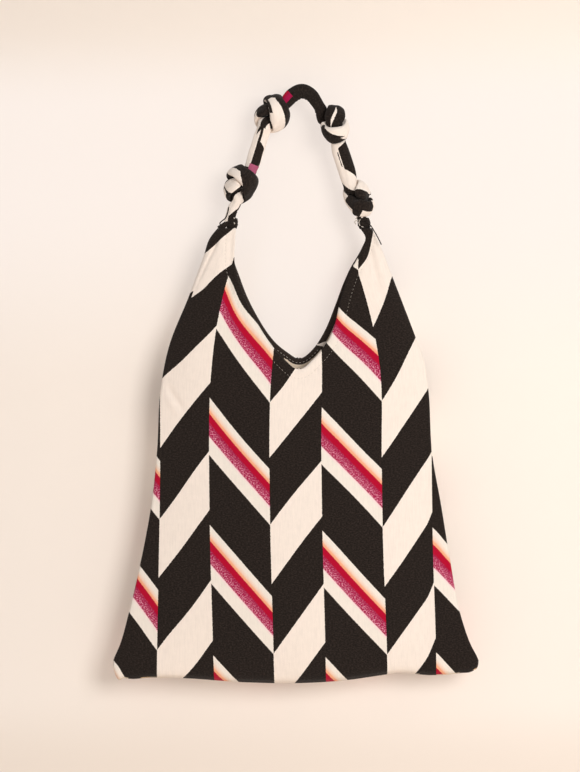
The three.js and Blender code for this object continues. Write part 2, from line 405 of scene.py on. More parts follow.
# %% Yarn, flecks and relief
YARN_SHADE = 0.10
DYE_SHADE = 0.08
STREAK_SHADE = 0.05
FUZZ = 0.040
FUZZ_TINT = (1.0, 0.70, 0.55)
FUZZ_FADES = (0.05, 0.30)
# How often the flecks, the warp's streaks and the weft's streaks change in one metre, across and up.
FLECK_STRETCH = (600.0, 950.0, 1.0)
WARP_STRETCH = (650.0, 60.0, 1.0)
WEFT_STRETCH = (480.0, 820.0, 1.0)
# Where in its noise a fleck or a streak starts and is full.
FLECK_RANGE = (0.49, 0.61)
STREAK_RANGE = (0.42, 0.70)
DYE_SCALE = 160.0
DYE_RELIEF = 0.6
THREAD_RELIEF = 0.25 * MM
COTTON_ROUGHNESS = 0.92
COTTON_GLOSS = 0.15
COTTON_SHEEN = 0.04
SHEEN_ROUGHNESS = 0.6
COTTON_BUMP = 0.55


def yarn_streaks(tree, place, stretch, limits):
    """Uneven yarns, 0 to 1: noise that is drawn out one way."""
    drawn = add_node(tree, "ShaderNodeVectorMath", operation="MULTIPLY")
    plug(tree, drawn.inputs[0], place)
    drawn.inputs[1].default_value = stretch
    noise = add_node(tree, "ShaderNodeTexNoise", {"Vector": drawn.outputs[0], "Scale": 1.0, "Detail": 2.0})
    return share_between(tree, noise.outputs["Fac"], *limits)


def yarn_finish(tree, shader, colour, flecked, across, up, strength):
    """Adds flecks, dye and thread relief to the colour, and wires the shader."""
    place = add_node(tree, "ShaderNodeCombineXYZ", {"X": across, "Y": up}).outputs[0]
    fleck = yarn_streaks(tree, place, FLECK_STRETCH, FLECK_RANGE)
    with_flecks = mix_colour(tree, reckon(tree, "MULTIPLY", fleck, flecked), colour, PINK_FLECK)
    warp_streak = yarn_streaks(tree, place, WARP_STRETCH, STREAK_RANGE)
    weft_streak = yarn_streaks(tree, place, WEFT_STRETCH, STREAK_RANGE)

    dye = add_node(tree, "ShaderNodeTexNoise", {"Vector": place, "Scale": DYE_SCALE, "Detail": 4.0})
    threads = thread_heights(tree, up, across)
    shade = reckon(tree, "MULTIPLY_ADD", threads, YARN_SHADE, 1 - YARN_SHADE / 2 - DYE_SHADE / 2)
    shade = reckon(tree, "MULTIPLY_ADD", dye.outputs["Fac"], DYE_SHADE, shade)
    shade = reckon(tree, "MULTIPLY_ADD", warp_streak, -STREAK_SHADE, shade)
    dyed = add_node(tree, "ShaderNodeVectorMath", operation="SCALE")
    plug(tree, dyed.inputs[0], with_flecks)
    plug(tree, dyed.inputs["Scale"], reckon(tree, "ADD", shade, STREAK_SHADE / 3))
    redness = add_node(tree, "ShaderNodeSeparateColor", {"Color": with_flecks}).outputs[0]
    darkest, lightest = FUZZ_FADES
    fading = reckon(tree, "MULTIPLY", share_between(tree, redness, lightest, darkest), FUZZ)
    fuzz = reckon(tree, "MULTIPLY", reckon(tree, "MULTIPLY", weft_streak, threads), fading)
    fuzzy = add_node(tree, "ShaderNodeVectorMath", operation="MULTIPLY_ADD")
    plug(tree, fuzzy.inputs[0], fuzz)
    fuzzy.inputs[1].default_value = FUZZ_TINT
    plug(tree, fuzzy.inputs[2], dyed.outputs[0])
    plug(tree, shader.inputs["Base Color"], fuzzy.outputs[0])

    relief = reckon(tree, "MULTIPLY_ADD", dye.outputs["Fac"], DYE_RELIEF, threads)
    raised = {"Height": relief, "Strength": strength, "Distance": THREAD_RELIEF}
    plug(tree, shader.inputs["Normal"], add_node(tree, "ShaderNodeBump", raised).outputs[0])
    shader.inputs["Specular IOR Level"].default_value = COTTON_GLOSS
    shader.inputs["Sheen Weight"].default_value = COTTON_SHEEN
    shader.inputs["Sheen Roughness"].default_value = SHEEN_ROUGHNESS


face_finish, tree, shader = new_finish("chevron_cotton_face", COTTON_ROUGHNESS)
wobbly_x, wobbly_z, plain_x, plain_z = fabric_place(tree)
colour, flecked = striped_columns(tree, wobbly_x, wobbly_z, (BLACK, CREAM), BAND_STOPS)
yarn_finish(tree, shader, colour, flecked, plain_x, plain_z, COTTON_BUMP)
print("face of the cloth has", len(tree.nodes), "nodes")

# %% [markdown]
# On the wrong side of such a cloth the yarns change places: what is black on the face is cream on the back.
# The inside shows only at the neck, so the same nodes are used again with the colours swapped and duller.
# Along the neck the hem is turned in and shows the face again, black with one pale wedge, so the distance
# from the neck's edge, which each point of the cloth carries, chooses between the two. Below the middle of
# the hem the inside is peach, painted far brighter than its own dull peach: painted light on a strip that
# lies in the shade of the front panel's edge.

# %% Wrong side of the cloth
DULL_BLACK = screen_colour(52, 43, 38)
DULL_CREAM = screen_colour(226, 205, 180)
DULL_PEACH = screen_colour(231, 190, 146)
REVERSE_STOPS = [
    (0.0, DULL_BLACK), (0.05, DULL_BLACK), (0.098, DULL_PEACH), (0.130, DULL_CREAM), (0.204, DULL_CREAM),
    (0.210, DULL_PEACH), (0.298, DULL_PEACH), (0.304, DULL_BLACK), (0.446, DULL_BLACK), (0.450, DULL_CREAM),
    (0.999, DULL_CREAM), (1.0, DULL_BLACK),
]
PEACH_AND_PAINTED_LIGHT = screen_colour(252, 228, 202)
HEM_SHARE = 1.08
INSIDE_SHARE = 1.8
PEACH_MIDDLE_X = -4 * MM
PEACH_REACH = 17 * MM
WEDGE_TIP_X = 14 * MM
WEDGE_Z = -335.5 * MM
WEDGE_SLOPE = 0.2
REVERSE_ROUGHNESS = 0.95
REVERSE_BUMP = 0.5

reverse_finish, tree, shader = new_finish("chevron_cotton_reverse", REVERSE_ROUGHNESS)
wobbly_x, wobbly_z, plain_x, plain_z = fabric_place(tree)
colour, flecked = striped_columns(tree, wobbly_x, wobbly_z, (DULL_CREAM, DULL_BLACK), REVERSE_STOPS)
hem_share = add_node(tree, "ShaderNodeAttribute", attribute_name="hem_share").outputs["Fac"]
on_hem = reckon(tree, "LESS_THAN", hem_share, HEM_SHARE)
near_hem = reckon(tree, "LESS_THAN", hem_share, INSIDE_SHARE)
from_middle = reckon(tree, "ABSOLUTE", reckon(tree, "SUBTRACT", wobbly_x, PEACH_MIDDLE_X))
# Painted light: the peach strip below the hem is painted brighter than the inside's own colour, as it lies in
# shade.
on_painted_light_peach = reckon(tree, "MULTIPLY", near_hem, reckon(tree, "LESS_THAN", from_middle, PEACH_REACH))
colour = mix_colour(tree, on_painted_light_peach, colour, PEACH_AND_PAINTED_LIGHT)
colour = mix_colour(tree, on_hem, colour, DULL_BLACK)
wedge_half = reckon(tree, "MULTIPLY", reckon(tree, "SUBTRACT", wobbly_x, WEDGE_TIP_X), WEDGE_SLOPE)
from_wedge = reckon(tree, "ABSOLUTE", reckon(tree, "SUBTRACT", wobbly_z, WEDGE_Z))
on_wedge = reckon(tree, "MULTIPLY", near_hem, reckon(tree, "LESS_THAN", from_wedge, wedge_half))
colour = mix_colour(tree, on_wedge, colour, CREAM)
yarn_finish(tree, shader, colour, 0.0, plain_x, plain_z, REVERSE_BUMP)
print("wrong side of the cloth has", len(tree.nodes), "nodes")

# %% [markdown]
# ## The cut of the panels
#
# The outline is what one sees first: a flared body, a waist, sides that sweep in to the ears, and a neck that
# is a deep scoop. A cutter would draw it with a few points and a curved ruler, so here a smooth curve goes
# through a few points for each side, for the neck and for the sagging base. The two sides aren't quite alike,
# because the bag hangs from one point and its strap is tied unevenly.

# %% Smooth curves through a few points
def smooth_curve(points):
    """A function that runs smoothly through points of (where, value)."""
    known = np.array(points, float)
    where, value = known[:, 0], known[:, 1]
    slope = np.gradient(value, where)

    def curve(at):
        at = np.clip(at, where[0], where[-1])
        piece = np.clip(np.searchsorted(where, at) - 1, 0, len(where) - 2)
        span = where[piece + 1] - where[piece]
        t = (at - where[piece]) / span
        rise = value[piece + 1] - value[piece]
        start = slope[piece] * span
        end = slope[piece + 1] * span
        return value[piece] + t * (start + t * (3 * rise - 2 * start - end + t * (start + end - 2 * rise)))

    return curve


def smoothstep(at, start, end):
    """0 before start and 1 after end, with a soft slope between them."""
    t = np.clip((at - start) / (end - start), 0, 1)
    return t * t * (3 - 2 * t)


def curve_through(points, station, at):
    """Places on the smooth curve that passes each point at its station."""
    return np.stack([smooth_curve(np.stack([station, column], axis=1))(at) for column in points.T], axis=1)


def lengths_along(points):
    """How long the line of points is up to each of them."""
    return np.concatenate([[0], np.cumsum(np.linalg.norm(np.diff(points, axis=0), axis=1))])


def spread_along(points, first, step):
    """Places on the line of points, the first one as far along it as given and then one at every step."""
    lengths = lengths_along(points)
    even = np.arange(first, lengths[-1], step)
    return np.stack([np.interp(even, lengths, column) for column in points.T], axis=1)


# Drop below the middle of the strap's arch, and reach from the body's middle, in millimetres.
LEFT_SIDE = smooth_curve([
    (147, 83.5), (152, 88), (157, 92), (181, 101), (224, 117), (276, 137.8), (320, 147), (393, 151.5),
    (446, 157), (512, 169), (568, 182), (604, 192), (624, 200), (646, 200),
])
RIGHT_SIDE = smooth_curve([
    (147, 82.5), (162, 90), (201, 105.5), (266, 130.5), (293, 140.5), (324, 145), (397, 149.5), (451, 159),
    (506, 168), (577, 182), (604, 191.5), (621, 200), (646, 200),
])
# Place across the base, as a share of its half width, and how far the seam rises there, in millimetres.
BASE_RISE = smooth_curve([
    (-1, 24), (-0.985, 10.5), (-0.93, 5.6), (-0.8, 6.0), (-0.63, 5.5), (-0.3, 1), (0, 0), (0.27, 3.3),
    (0.46, 8.7), (0.545, 11), (0.735, 8.7), (0.893, 10.9), (0.97, 14.2), (0.99, 18), (1, 25),
])
print("waist reach left", float(LEFT_SIDE(393)), "right", float(RIGHT_SIDE(393)))

# %% The neck
NECK_MIDDLE_X = -3.5
FRONT_NECK_DROP = 303.0
BACK_NECK_DROP = 291.0
# Square root of the share of the neck's height, and reach from the neck's middle, in millimetres.
FRONT_NECK_LEFT = smooth_curve([
    (0, 0), (0.255, 15), (0.415, 29.7), (0.603, 48.4), (0.752, 62.6), (0.872, 70), (1, 68.5),
])
FRONT_NECK_RIGHT = smooth_curve([
    (0, 0), (0.255, 14.5), (0.369, 24.4), (0.456, 32), (0.56, 38.8), (0.7025, 45.4), (0.78, 50.8),
    (0.8437, 57.3), (0.872, 61.8), (0.9255, 69.3), (0.967, 73), (1, 67.5),
])
BACK_NECK_LEFT = smooth_curve([
    (0, 0), (0.2, 11), (0.35, 25.5), (0.55, 43.7), (0.72, 59), (0.80, 65.3), (0.872, 71), (0.93, 71.5),
    (1, 69.3),
])
BACK_NECK_RIGHT = smooth_curve([
    (0, 0), (0.2, 11), (0.35, 21), (0.5, 31), (0.66, 41.3), (0.78, 50.6), (0.8437, 57.6), (0.872, 61.8),
    (0.9255, 69.3), (0.967, 73), (1, 67.5),
])
print("front neck opens to", float(FRONT_NECK_LEFT(1) + FRONT_NECK_RIGHT(1)), "mm at the ears")

# %% [markdown]
# ## The panels as draped sheets
#
# Each panel is two grids, one for each half, that share the middle line below the neck and part above it to
# run round the scoop into the ears. Every grid point gets its place from the outline: how far across, how
# high, and how far the cloth stands off the bag's middle plane. A simulation could drape the cloth too, but
# the outline of a sewn bag is set by its seams, so here it is set directly and the folds are laid on one by
# one.

# %% Where the cloth lies
HALF_COLUMNS = 74
BODY_ROWS = 96
EAR_ROWS = 84
SEAM_CROWDING = 1.7
ROW_CROWDING = 0.9
EAR_DROP = (DROP_ZERO_Z - EAR_TOP_Z) / MM
EAR_FROM = (0.55, 0.8)
CLOTH = 1.2 * MM
FRONT_SWELL = 20.0
BACK_SWELL = 12.0
SWELL_POWER = 0.55
EAR_DEPTH = 3.0
EAR_FULLNESS = 4.0
FRONT_HEM = 10.0
BACK_HEM = 6.5
BACK_PATTERN_DROP = 68.0
SEAM_ROLL = 2.6
SEAM_GAP = 0.1


class Panel:
    """One of the two cuts: its neck, how it swells, and which way it faces."""

    def __init__(self, facing, neck_drop, neck_left, neck_right, swell, hem, pattern_drop):
        self.facing = facing
        self.hem = hem
        self.pattern_drop = pattern_drop
        self.neck_drop = neck_drop
        self.necks = {-1: neck_left, 1: neck_right}
        self.swell = swell

    def neck_edge(self, side, share):
        """The neck's edge in millimetres: across and drop, from its bottom to the ear's top."""
        across = NECK_MIDDLE_X + side * self.necks[side](share)
        return across, self.neck_drop + (EAR_DROP - self.neck_drop) * share**2

    def side_seam(self, side, drop):
        """The side seam's place across, in millimetres."""
        reach = LEFT_SIDE(drop) if side < 0 else RIGHT_SIDE(drop)
        return BODY_MIDDLE_X / MM + side * reach


FRONT = Panel(-1, FRONT_NECK_DROP, FRONT_NECK_LEFT, FRONT_NECK_RIGHT, FRONT_SWELL, FRONT_HEM, 0.0)
BACK = Panel(1, BACK_NECK_DROP, BACK_NECK_LEFT, BACK_NECK_RIGHT, BACK_SWELL, BACK_HEM, BACK_PATTERN_DROP)
print("panels face", FRONT.facing, "and", BACK.facing, "along Y")

# %% Flat place of each grid point
def flat_place(panel, side, share_across, share_up):
    """Across and drop in millimetres, with the distance from the seams and the height, 0 to 1."""
    u = 1 - (1 - share_across) ** SEAM_CROWDING
    body_share = BODY_ROWS / (BODY_ROWS + EAR_ROWS)
    in_body = np.clip(share_up / body_share, 0, 1)
    in_ear = np.clip((share_up - body_share) / (1 - body_share), 0, 1)
    base_drop = BAG_HEIGHT - BASE_RISE(side * u)
    inner, inner_drop = panel.neck_edge(side, in_ear)
    drop = base_drop + (inner_drop - base_drop) * in_body**ROW_CROWDING
    outer = panel.side_seam(side, drop)
    across = inner + (outer - inner) * u
    height = (base_drop - drop) / (base_drop - EAR_DROP)
    from_side = np.abs(outer - across)
    from_seam = np.minimum(from_side, base_drop - drop)
    return across, drop, from_seam, height, u, in_ear


def stand_off(panel, from_seam, height, towards_seam):
    """How far the cloth stands off the middle plane, in millimetres, without folds."""
    depth = EAR_DEPTH * height + panel.swell * np.sin(np.pi * np.clip(height, 0, 1) ** SWELL_POWER)
    turn = np.clip(from_seam / SEAM_ROLL, 0, 1)
    roll = SEAM_ROLL * np.sqrt(1 - (1 - turn) ** 2)
    fullness = 2 + EAR_FULLNESS * smoothstep(height, *EAR_FROM)
    return SEAM_GAP + roll + depth * (1 - towards_seam**fullness)


print("flat places and stand-off ready")

# %% [markdown]
# ## Folds in the cloth
#
# Heavy cotton that hangs from two gathered ears shows pleats that fan out of the ears, a few soft drag lines
# down the body and small ripples along the base seam. Each fold is a line on the panel with a width and a
# depth: cloth near the line is pushed in or out, and the push fades along the line and to both sides.

# %% Folds
# Across and drop of both ends, width and depth in millimetres; a negative depth is a valley.
FRONT_FOLDS = [
    (-77, 150, -81, 238, 4.0, -1.9), (-71, 150, -72, 225, 3.5, 1.0), (-84, 152, -104, 262, 6.0, 0.5),
    (-90, 158, -125, 232, 1.6, -3.0), (70, 150, 88, 236, 4.0, -1.7), (74, 152, 106, 262, 5.0, 0.8),
    (66, 152, 66, 215, 3.5, 1.1), (-148, 320, -126, 352, 3.0, -1.7), (-153, 326, -131, 358, 3.5, 1.1),
    (-62, 300, -100, 480, 26.0, -0.4), (50, 300, 78, 470, 24.0, 0.1), (-5, 320, -8, 470, 20.0, -0.6),
    (-66, 645, -52, 560, 12.0, 0.7), (-120, 642, -104, 575, 12.0, -0.7), (40, 642, 48, 560, 13.0, -0.6),
    (92, 638, 98, 565, 11.0, 0.8), (140, 638, 128, 560, 12.0, -0.8), (-158, 410, -120, 440, 8.0, -0.6),
    (142, 400, 108, 428, 9.0, -0.6), (-165, 500, -130, 520, 10.0, 0.5), (160, 520, 120, 545, 11.0, -0.5),
]
BACK_FOLDS = [
    (-76, 150, -84, 240, 4.0, -2.8), (-83, 152, -106, 258, 5.0, 1.8), (69, 150, 84, 240, 4.0, -2.6),
    (74, 152, 104, 262, 5.0, 1.8), (-58, 300, -84, 470, 24.0, 2.2), (48, 300, 84, 480, 26.0, 2.0),
    (-8, 310, -4, 480, 18.0, -1.5), (-90, 642, -80, 566, 12.0, 1.5), (-30, 645, -26, 570, 12.0, -1.3),
    (70, 640, 66, 560, 13.0, 1.5), (128, 638, 116, 566, 12.0, -1.6), (-146, 360, -112, 388, 7.0, -1.6),
    (138, 352, 104, 380, 7.0, -1.6),
]
# Share of a fold's length over which it grows at its start, and over which it fades at its end.
FOLD_GROWS = (-0.12, 0.18)
FOLD_FADES = (0.45, 1.1)
# Height of the cloth's slow waves, and how far each takes across and down to turn by one radian.
UNEVENNESS = 0.3
WAVES = [(17, 41), (-37, 23), (29, 29)]


def fold_push(folds, across, drop):
    """The sum of all folds at each point, in millimetres."""
    push = np.zeros_like(across)
    for start_x, start_drop, end_x, end_drop, width, depth in folds:
        run = np.array([end_x - start_x, end_drop - start_drop], float)
        length = np.hypot(*run)
        along = ((across - start_x) * run[0] + (drop - start_drop) * run[1]) / length
        aside = ((across - start_x) * run[1] - (drop - start_drop) * run[0]) / length
        share = along / length
        fade = smoothstep(share, *FOLD_GROWS) * (1 - smoothstep(share, *FOLD_FADES))
        push += depth * fade * np.exp(-((aside / width) ** 2))
    wave = sum(np.sin(across / wide + drop / tall) for wide, tall in WAVES)
    return push + UNEVENNESS * wave / len(WAVES)


print(len(FRONT_FOLDS), "folds in front,", len(BACK_FOLDS), "at the back")

# %% [markdown]
# ## How the pattern lies on the cloth
#
# The weave runs straight in the body. In the ears the cloth is gathered towards the strap, so the columns
# lean in there. The fabric coordinates undo that lean: they are the place that each point had on the uncut
# cloth. They also follow the cloth where it is drawn out of its square: slow turns over a whole side, and
# small drags that fade round one place. One strip, at the side of the left ear, is folded over and shows the
# weave shifted beyond its crease.

# %% Fabric coordinates
LEFT_LEAN = 1.052 * MM
LEFT_LEAN_FROM = 336.6
RIGHT_LEAN = 1.052 * MM
RIGHT_LEAN_FROM = 358.5
PATTERN_TILT = 0.035
TILT_LOSS = 0.7
EAR_LIFT = 20.0
EAR_EDGE_LIFT = 7.0
EDGE_SWING_LOSS = 1.7
RIGHT_SWING = 1.6
RIGHT_EDGE_LIFT = 6.5
RIGHT_EDGE_SHIFT = 3.3
RIGHT_EAR_SHIFT = 8.5
RIGHT_EAR_X = 68
RIGHT_EAR_REACH = 14
# Places across the bag between which a shift grows or fades, in millimetres.
LEFT_HALF_X = (-30, -2)
LEFT_EAR_EDGE_X = (-85, -105)
LEFT_EDGE_X = (-110, -150)
RIGHT_HALF_X = (8, 52)
RIGHT_SWING_X = (40, 100)
RIGHT_EDGE_X = (135, 150)
# Drops between which a shift grows or fades, in millimetres.
TILT_FADES = (500, 630)
EAR_LIFT_FADES = (150, 222)
RIGHT_SWING_GROWS = (480, 640)
RIGHT_TURN_FADES = (390, 520)
RIGHT_EDGE_LIFT_GROWS = (400, 480)
RIGHT_EAR_FADES = (176, 202)
# Place across, and how far the pattern drops there in the upper body, in millimetres.
RIGHT_TURN = smooth_curve([
    (-40, 0), (-10, -1.3), (8, -4.2), (22, -6.0), (40, -3.6), (62, 0), (90, 4.4), (110, 6.4), (150, 6.8),
])
# Drop, and how far the columns swing to the right there, in millimetres.
COLUMN_SWING = smooth_curve([(300, 0), (370, -1.5), (450, -1.0), (520, 0.5), (580, 2.2), (646, 3.8)])
# Place across and drop, reach to the left, right, above and below, and how far the weave is dragged down
# there, in millimetres.
DRAGS = [
    (-67, 231, 22, 22, 40, 40, 6.0), (-160, 320, 26, 26, 55, 55, -12.0), (-205, 630, 18, 18, 30, 30, -12.0),
    (-34, 348, 58, 46, 140, 60, 7.0), (88, 345, 40, 30, 50, 70, 5.5), (-185, 575, 40, 32, 80, 45, -4.5),
    (-55, 262, 22, 22, 32, 45, 4.0), (-108, 216, 14, 14, 18, 22, 6.5), (98, 203, 12, 12, 16, 20, -3.5),
    (-69, 226, 14, 16, 26, 32, 4.0), (106, 312, 20, 20, 26, 34, 2.2), (-18, 322, 16, 18, 18, 26, 2.2),
    (-102, 263, 16, 10, 16, 20, 2.0),
]
# The crease of the folded strip: one place on it, how far it goes out for each millimetre down, half its
# width, how far the weave is lifted beyond it, and the drops between which that grows and fades.
CREASE_X = -95
CREASE_DROP = 169
CREASE_SLOPE = 0.47
CREASE_HALF = 0.7
STRIP_LIFT = 9.0
STRIP_GROWS = (185, 205)
STRIP_FADES = (235, 250)


def fabric_place_of(across, drop):
    """Where a point of the panel lay on the uncut cloth, in metres."""
    left = 1 - smoothstep(across, *LEFT_HALF_X)
    right = smoothstep(across, *RIGHT_HALF_X)
    lean_left = LEFT_LEAN * np.clip(LEFT_LEAN_FROM - drop, 0, None) ** 2
    lean_right = RIGHT_LEAN * np.clip(RIGHT_LEAN_FROM - drop, 0, None) ** 2
    swing = COLUMN_SWING(drop) * (1 - EDGE_SWING_LOSS * smoothstep(across, *LEFT_EDGE_X))
    swing = swing + RIGHT_SWING * smoothstep(across, *RIGHT_SWING_X) * smoothstep(drop, *RIGHT_SWING_GROWS)
    right_edge = smoothstep(across, *RIGHT_EDGE_X)
    right_ear = np.exp(-(((across - RIGHT_EAR_X) / RIGHT_EAR_REACH) ** 2))
    right_ear = right_ear * (1 - smoothstep(drop, *RIGHT_EAR_FADES))
    flat_x = across - left * lean_left + right * lean_right - swing
    flat_x = flat_x + RIGHT_EDGE_SHIFT * right_edge - RIGHT_EAR_SHIFT * right_ear

    tilt = PATTERN_TILT * (1 - TILT_LOSS * smoothstep(drop, *TILT_FADES))
    flat_drop = drop - tilt * (across - BODY_MIDDLE_X / MM)
    ear_lift = EAR_LIFT + EAR_EDGE_LIFT * smoothstep(across, *LEFT_EAR_EDGE_X)
    flat_drop = flat_drop - left * ear_lift * (1 - smoothstep(drop, *EAR_LIFT_FADES))
    flat_drop = flat_drop + RIGHT_TURN(across) * (1 - smoothstep(drop, *RIGHT_TURN_FADES))
    flat_drop = flat_drop + RIGHT_EDGE_LIFT * right_edge * smoothstep(drop, *RIGHT_EDGE_LIFT_GROWS)
    for drag_x, drag_drop, left_of, right_of, above, below, drag in DRAGS:
        beside = (across - drag_x) / np.where(across < drag_x, left_of, right_of)
        beyond = (drop - drag_drop) / np.where(drop < drag_drop, above, below)
        flat_drop = flat_drop - drag * np.exp(-(beside**2) - beyond**2)
    crease = CREASE_X - CREASE_SLOPE * (drop - CREASE_DROP)
    on_strip = smoothstep(drop, *STRIP_GROWS) * (1 - smoothstep(drop, *STRIP_FADES))
    on_strip = on_strip * (1 - smoothstep(across, crease - CREASE_HALF, crease + CREASE_HALF))
    flat_drop = flat_drop + STRIP_LIFT * on_strip
    return flat_x * MM, -flat_drop * MM


print("fabric coordinates ready")

# %% [markdown]
# ## The turned hem
#
# The neck is finished with a narrow hem, turned to the inside and sewn down. The doubled cloth is thicker,
# and the thread pulls a shallow groove. Both follow the distance of a point from the neck's edge.

# %% Distance from the neck
NECK_STEPS = 160


def neck_line(panel):
    """The whole neck edge from the left ear over its bottom to the right ear, in millimetres."""
    share = np.linspace(0, 1, NECK_STEPS)
    left = np.stack(panel.neck_edge(-1, share[::-1]), axis=1)
    right = np.stack(panel.neck_edge(1, share[1:]), axis=1)
    return np.concatenate([left, right])


def from_neck(panel, across, drop):
    """How far each point is from the neck's edge, in millimetres."""
    line = neck_line(panel)
    start, run = line[:-1], np.diff(line, axis=0)
    square = np.sum(run**2, axis=1)
    nearest = np.full(len(across), np.inf)
    for (sx, sd), (rx, rd), length_2 in zip(start, run, square):
        t = np.clip(((across - sx) * rx + (drop - sd) * rd) / length_2, 0, 1)
        away = np.hypot(across - sx - t * rx, drop - sd - t * rd)
        nearest = np.minimum(nearest, away)
    return nearest


print("front neck edge is", round(float(lengths_along(neck_line(FRONT))[-1]), 1), "mm long")

# %% Cloth surface
# Heights and widths in millimetres of the hem's swell, its sewn groove and its rounded edge, and how far from
# the seams the folds are full.
HEM_PUFF = 0.5
HEM_PUFF_REACH = 3.5
STITCH_GROOVE = 0.5
GROOVE_REACH = 1.3
EDGE_ROUND = 0.7
EDGE_REACH = 1.5
FOLDS_FULL = 14


def cloth_surface(panel, folds, across, drop, from_seam, height, towards_seam):
    """The outside of the cloth in metres, one row for each point, and its distance from the neck."""
    off = stand_off(panel, from_seam, height, towards_seam)
    soft = smoothstep(from_seam, 0, FOLDS_FULL)
    away = from_neck(panel, across, drop)
    hem = HEM_PUFF * np.exp(-(((away - panel.hem / 2) / HEM_PUFF_REACH) ** 2))
    groove = STITCH_GROOVE * np.exp(-(((away - panel.hem) / GROOVE_REACH) ** 2))
    edge = EDGE_ROUND * (1 - smoothstep(away, 0, EDGE_REACH))
    off = off + soft * fold_push(folds, across, drop) + hem - groove - edge
    off = np.maximum(off, SEAM_GAP)
    return np.stack([across * MM, panel.facing * off * MM, DROP_ZERO_Z - drop * MM], axis=1), away


def towards_seam_of(panel, side, across, drop, u, in_ear):
    """0 at the middle of the cloth and 1 at the side seam."""
    middle = BODY_MIDDLE_X / MM
    reach = np.abs(panel.side_seam(side, drop) - middle)
    by_middle = np.clip(np.abs(across - middle) / reach, 0, 1)
    return by_middle + (u - by_middle) * in_ear**2


print("cloth surface ready")

# %% [markdown]
# ## Making the panels
#
# A grid operator gives the points, the functions above give them their place, and the two halves are welded
# along the middle. Solidify then gives the cloth its thickness towards the inside, more of it at the hem, and
# puts the wrong side's finish on the inner faces.

# %% Build a panel
# Where the hem's double thickness ends, as a share of its width, and the weight of the single cloth beyond.
HEM_FADES = (0.9, 1.05)
PLAIN_WEIGHT = 0.5
SEAM_WELD = 0.02 * MM


def half_panel(bm, panel, side, folds, fabric):
    """One half of a panel in the bmesh, with its fabric coordinates and its share of the hem's width."""
    rows = BODY_ROWS + EAR_ROWS
    grid = bmesh.ops.create_grid(bm, x_segments=HALF_COLUMNS, y_segments=rows, size=0.5)["verts"]
    shares = np.array([v.co[:2] for v in grid]) + 0.5
    across, drop, from_seam, height, u, in_ear = flat_place(panel, side, shares[:, 0], shares[:, 1])
    towards = towards_seam_of(panel, side, across, drop, u, in_ear)
    places, away = cloth_surface(panel, folds, across, drop, from_seam, height, towards)
    flat = np.stack(fabric_place_of(across, drop), axis=1) - np.array([0, panel.pattern_drop * MM])
    for vert, place, cut, share in zip(grid, places, flat, away / panel.hem):
        vert.co = place
        fabric[vert] = (cut, share)


def make_panel(name, panel, folds):
    """A whole panel as an object, with its UV map and its hem weight."""
    bm = bmesh.new()
    uv = bm.loops.layers.uv.new("fabric")
    weights = bm.verts.layers.deform.new()
    hem_share = bm.verts.layers.float.new("hem_share")
    fabric = {}
    for side in (-1, 1):
        half_panel(bm, panel, side, folds, fabric)
    for face in bm.faces:
        face.smooth = True
        for loop in face.loops:
            loop[uv].uv = fabric[loop.vert][0]
    for vert, (cut, share) in fabric.items():
        hem = 1 - smoothstep(share, *HEM_FADES)
        vert[weights][0] = PLAIN_WEIGHT + (1 - PLAIN_WEIGHT) * float(hem)
        vert[hem_share] = share
    bmesh.ops.remove_doubles(bm, verts=bm.verts, dist=SEAM_WELD)
    bmesh.ops.recalc_face_normals(bm, faces=bm.faces)
    bm.faces.ensure_lookup_table()
    if bm.faces[len(bm.faces) // 4].normal.y * panel.facing < 0:
        bmesh.ops.reverse_faces(bm, faces=bm.faces)
    return mesh_object(name, bm)


def thicken(piece, rim_finish):
    """Gives a panel its two finishes and the cloth's thickness, doubled at the hem."""
    piece.vertex_groups.new(name="hem")
    piece.data.materials.append(face_finish)
    piece.data.materials.append(reverse_finish)
    wall = piece.modifiers.new("cloth thickness", "SOLIDIFY")
    wall.thickness = CLOTH / PLAIN_WEIGHT
    wall.offset = -1.0
    wall.vertex_group = "hem"
    wall.material_offset = 1
    wall.material_offset_rim = rim_finish
    wall.use_rim = True


front_cloth = make_panel("front_cloth", FRONT, FRONT_FOLDS)
back_cloth = make_panel("back_cloth", BACK, BACK_FOLDS)
for piece, node, rim_finish in ((front_cloth, "front_panel", 0), (back_cloth, "back_panel", 1)):
    thicken(piece, rim_finish)
    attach(piece, "root")
    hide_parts(node)
    print(piece.name, len(piece.data.polygons), "faces")

# %% [markdown]
# ## The rolled strap
#
# The strap is a length of the same cloth, rolled up and tied in four overhand knots. Its route is the one the
# solid strap follows: a formula winds each knot, and a smooth curve joins them. A pipe along that route would
# run through itself in the knots, where real cloth is squeezed flat between neighbouring turns. So each point
# of the pipe that comes nearer to another turn is pushed back to the halfway plane between the two.

# %% Knots and route
STRAP_THICKNESS = 15.0
ARCH_WIDTH = 20.0
ARCH_SAG = 4.5
KNOT_POINTS = 28
KNOT_REACH = 2.05
# Where along the knot's formula its loops let go, how far they sit off its middle, and the length of half a
# loop and of half a crossing.
LOOPS_LET_GO = (1.45, 2.15)
LOOP_OFFSET = 0.27
LOOP_LENGTH = 1.42
CROSSING_LENGTH = 1.37
JOIN_X = {"left": -75.4, "right": 66.6}
END_Z = STRAP_END_Z / MM
ROUTE_STEP = 1.0


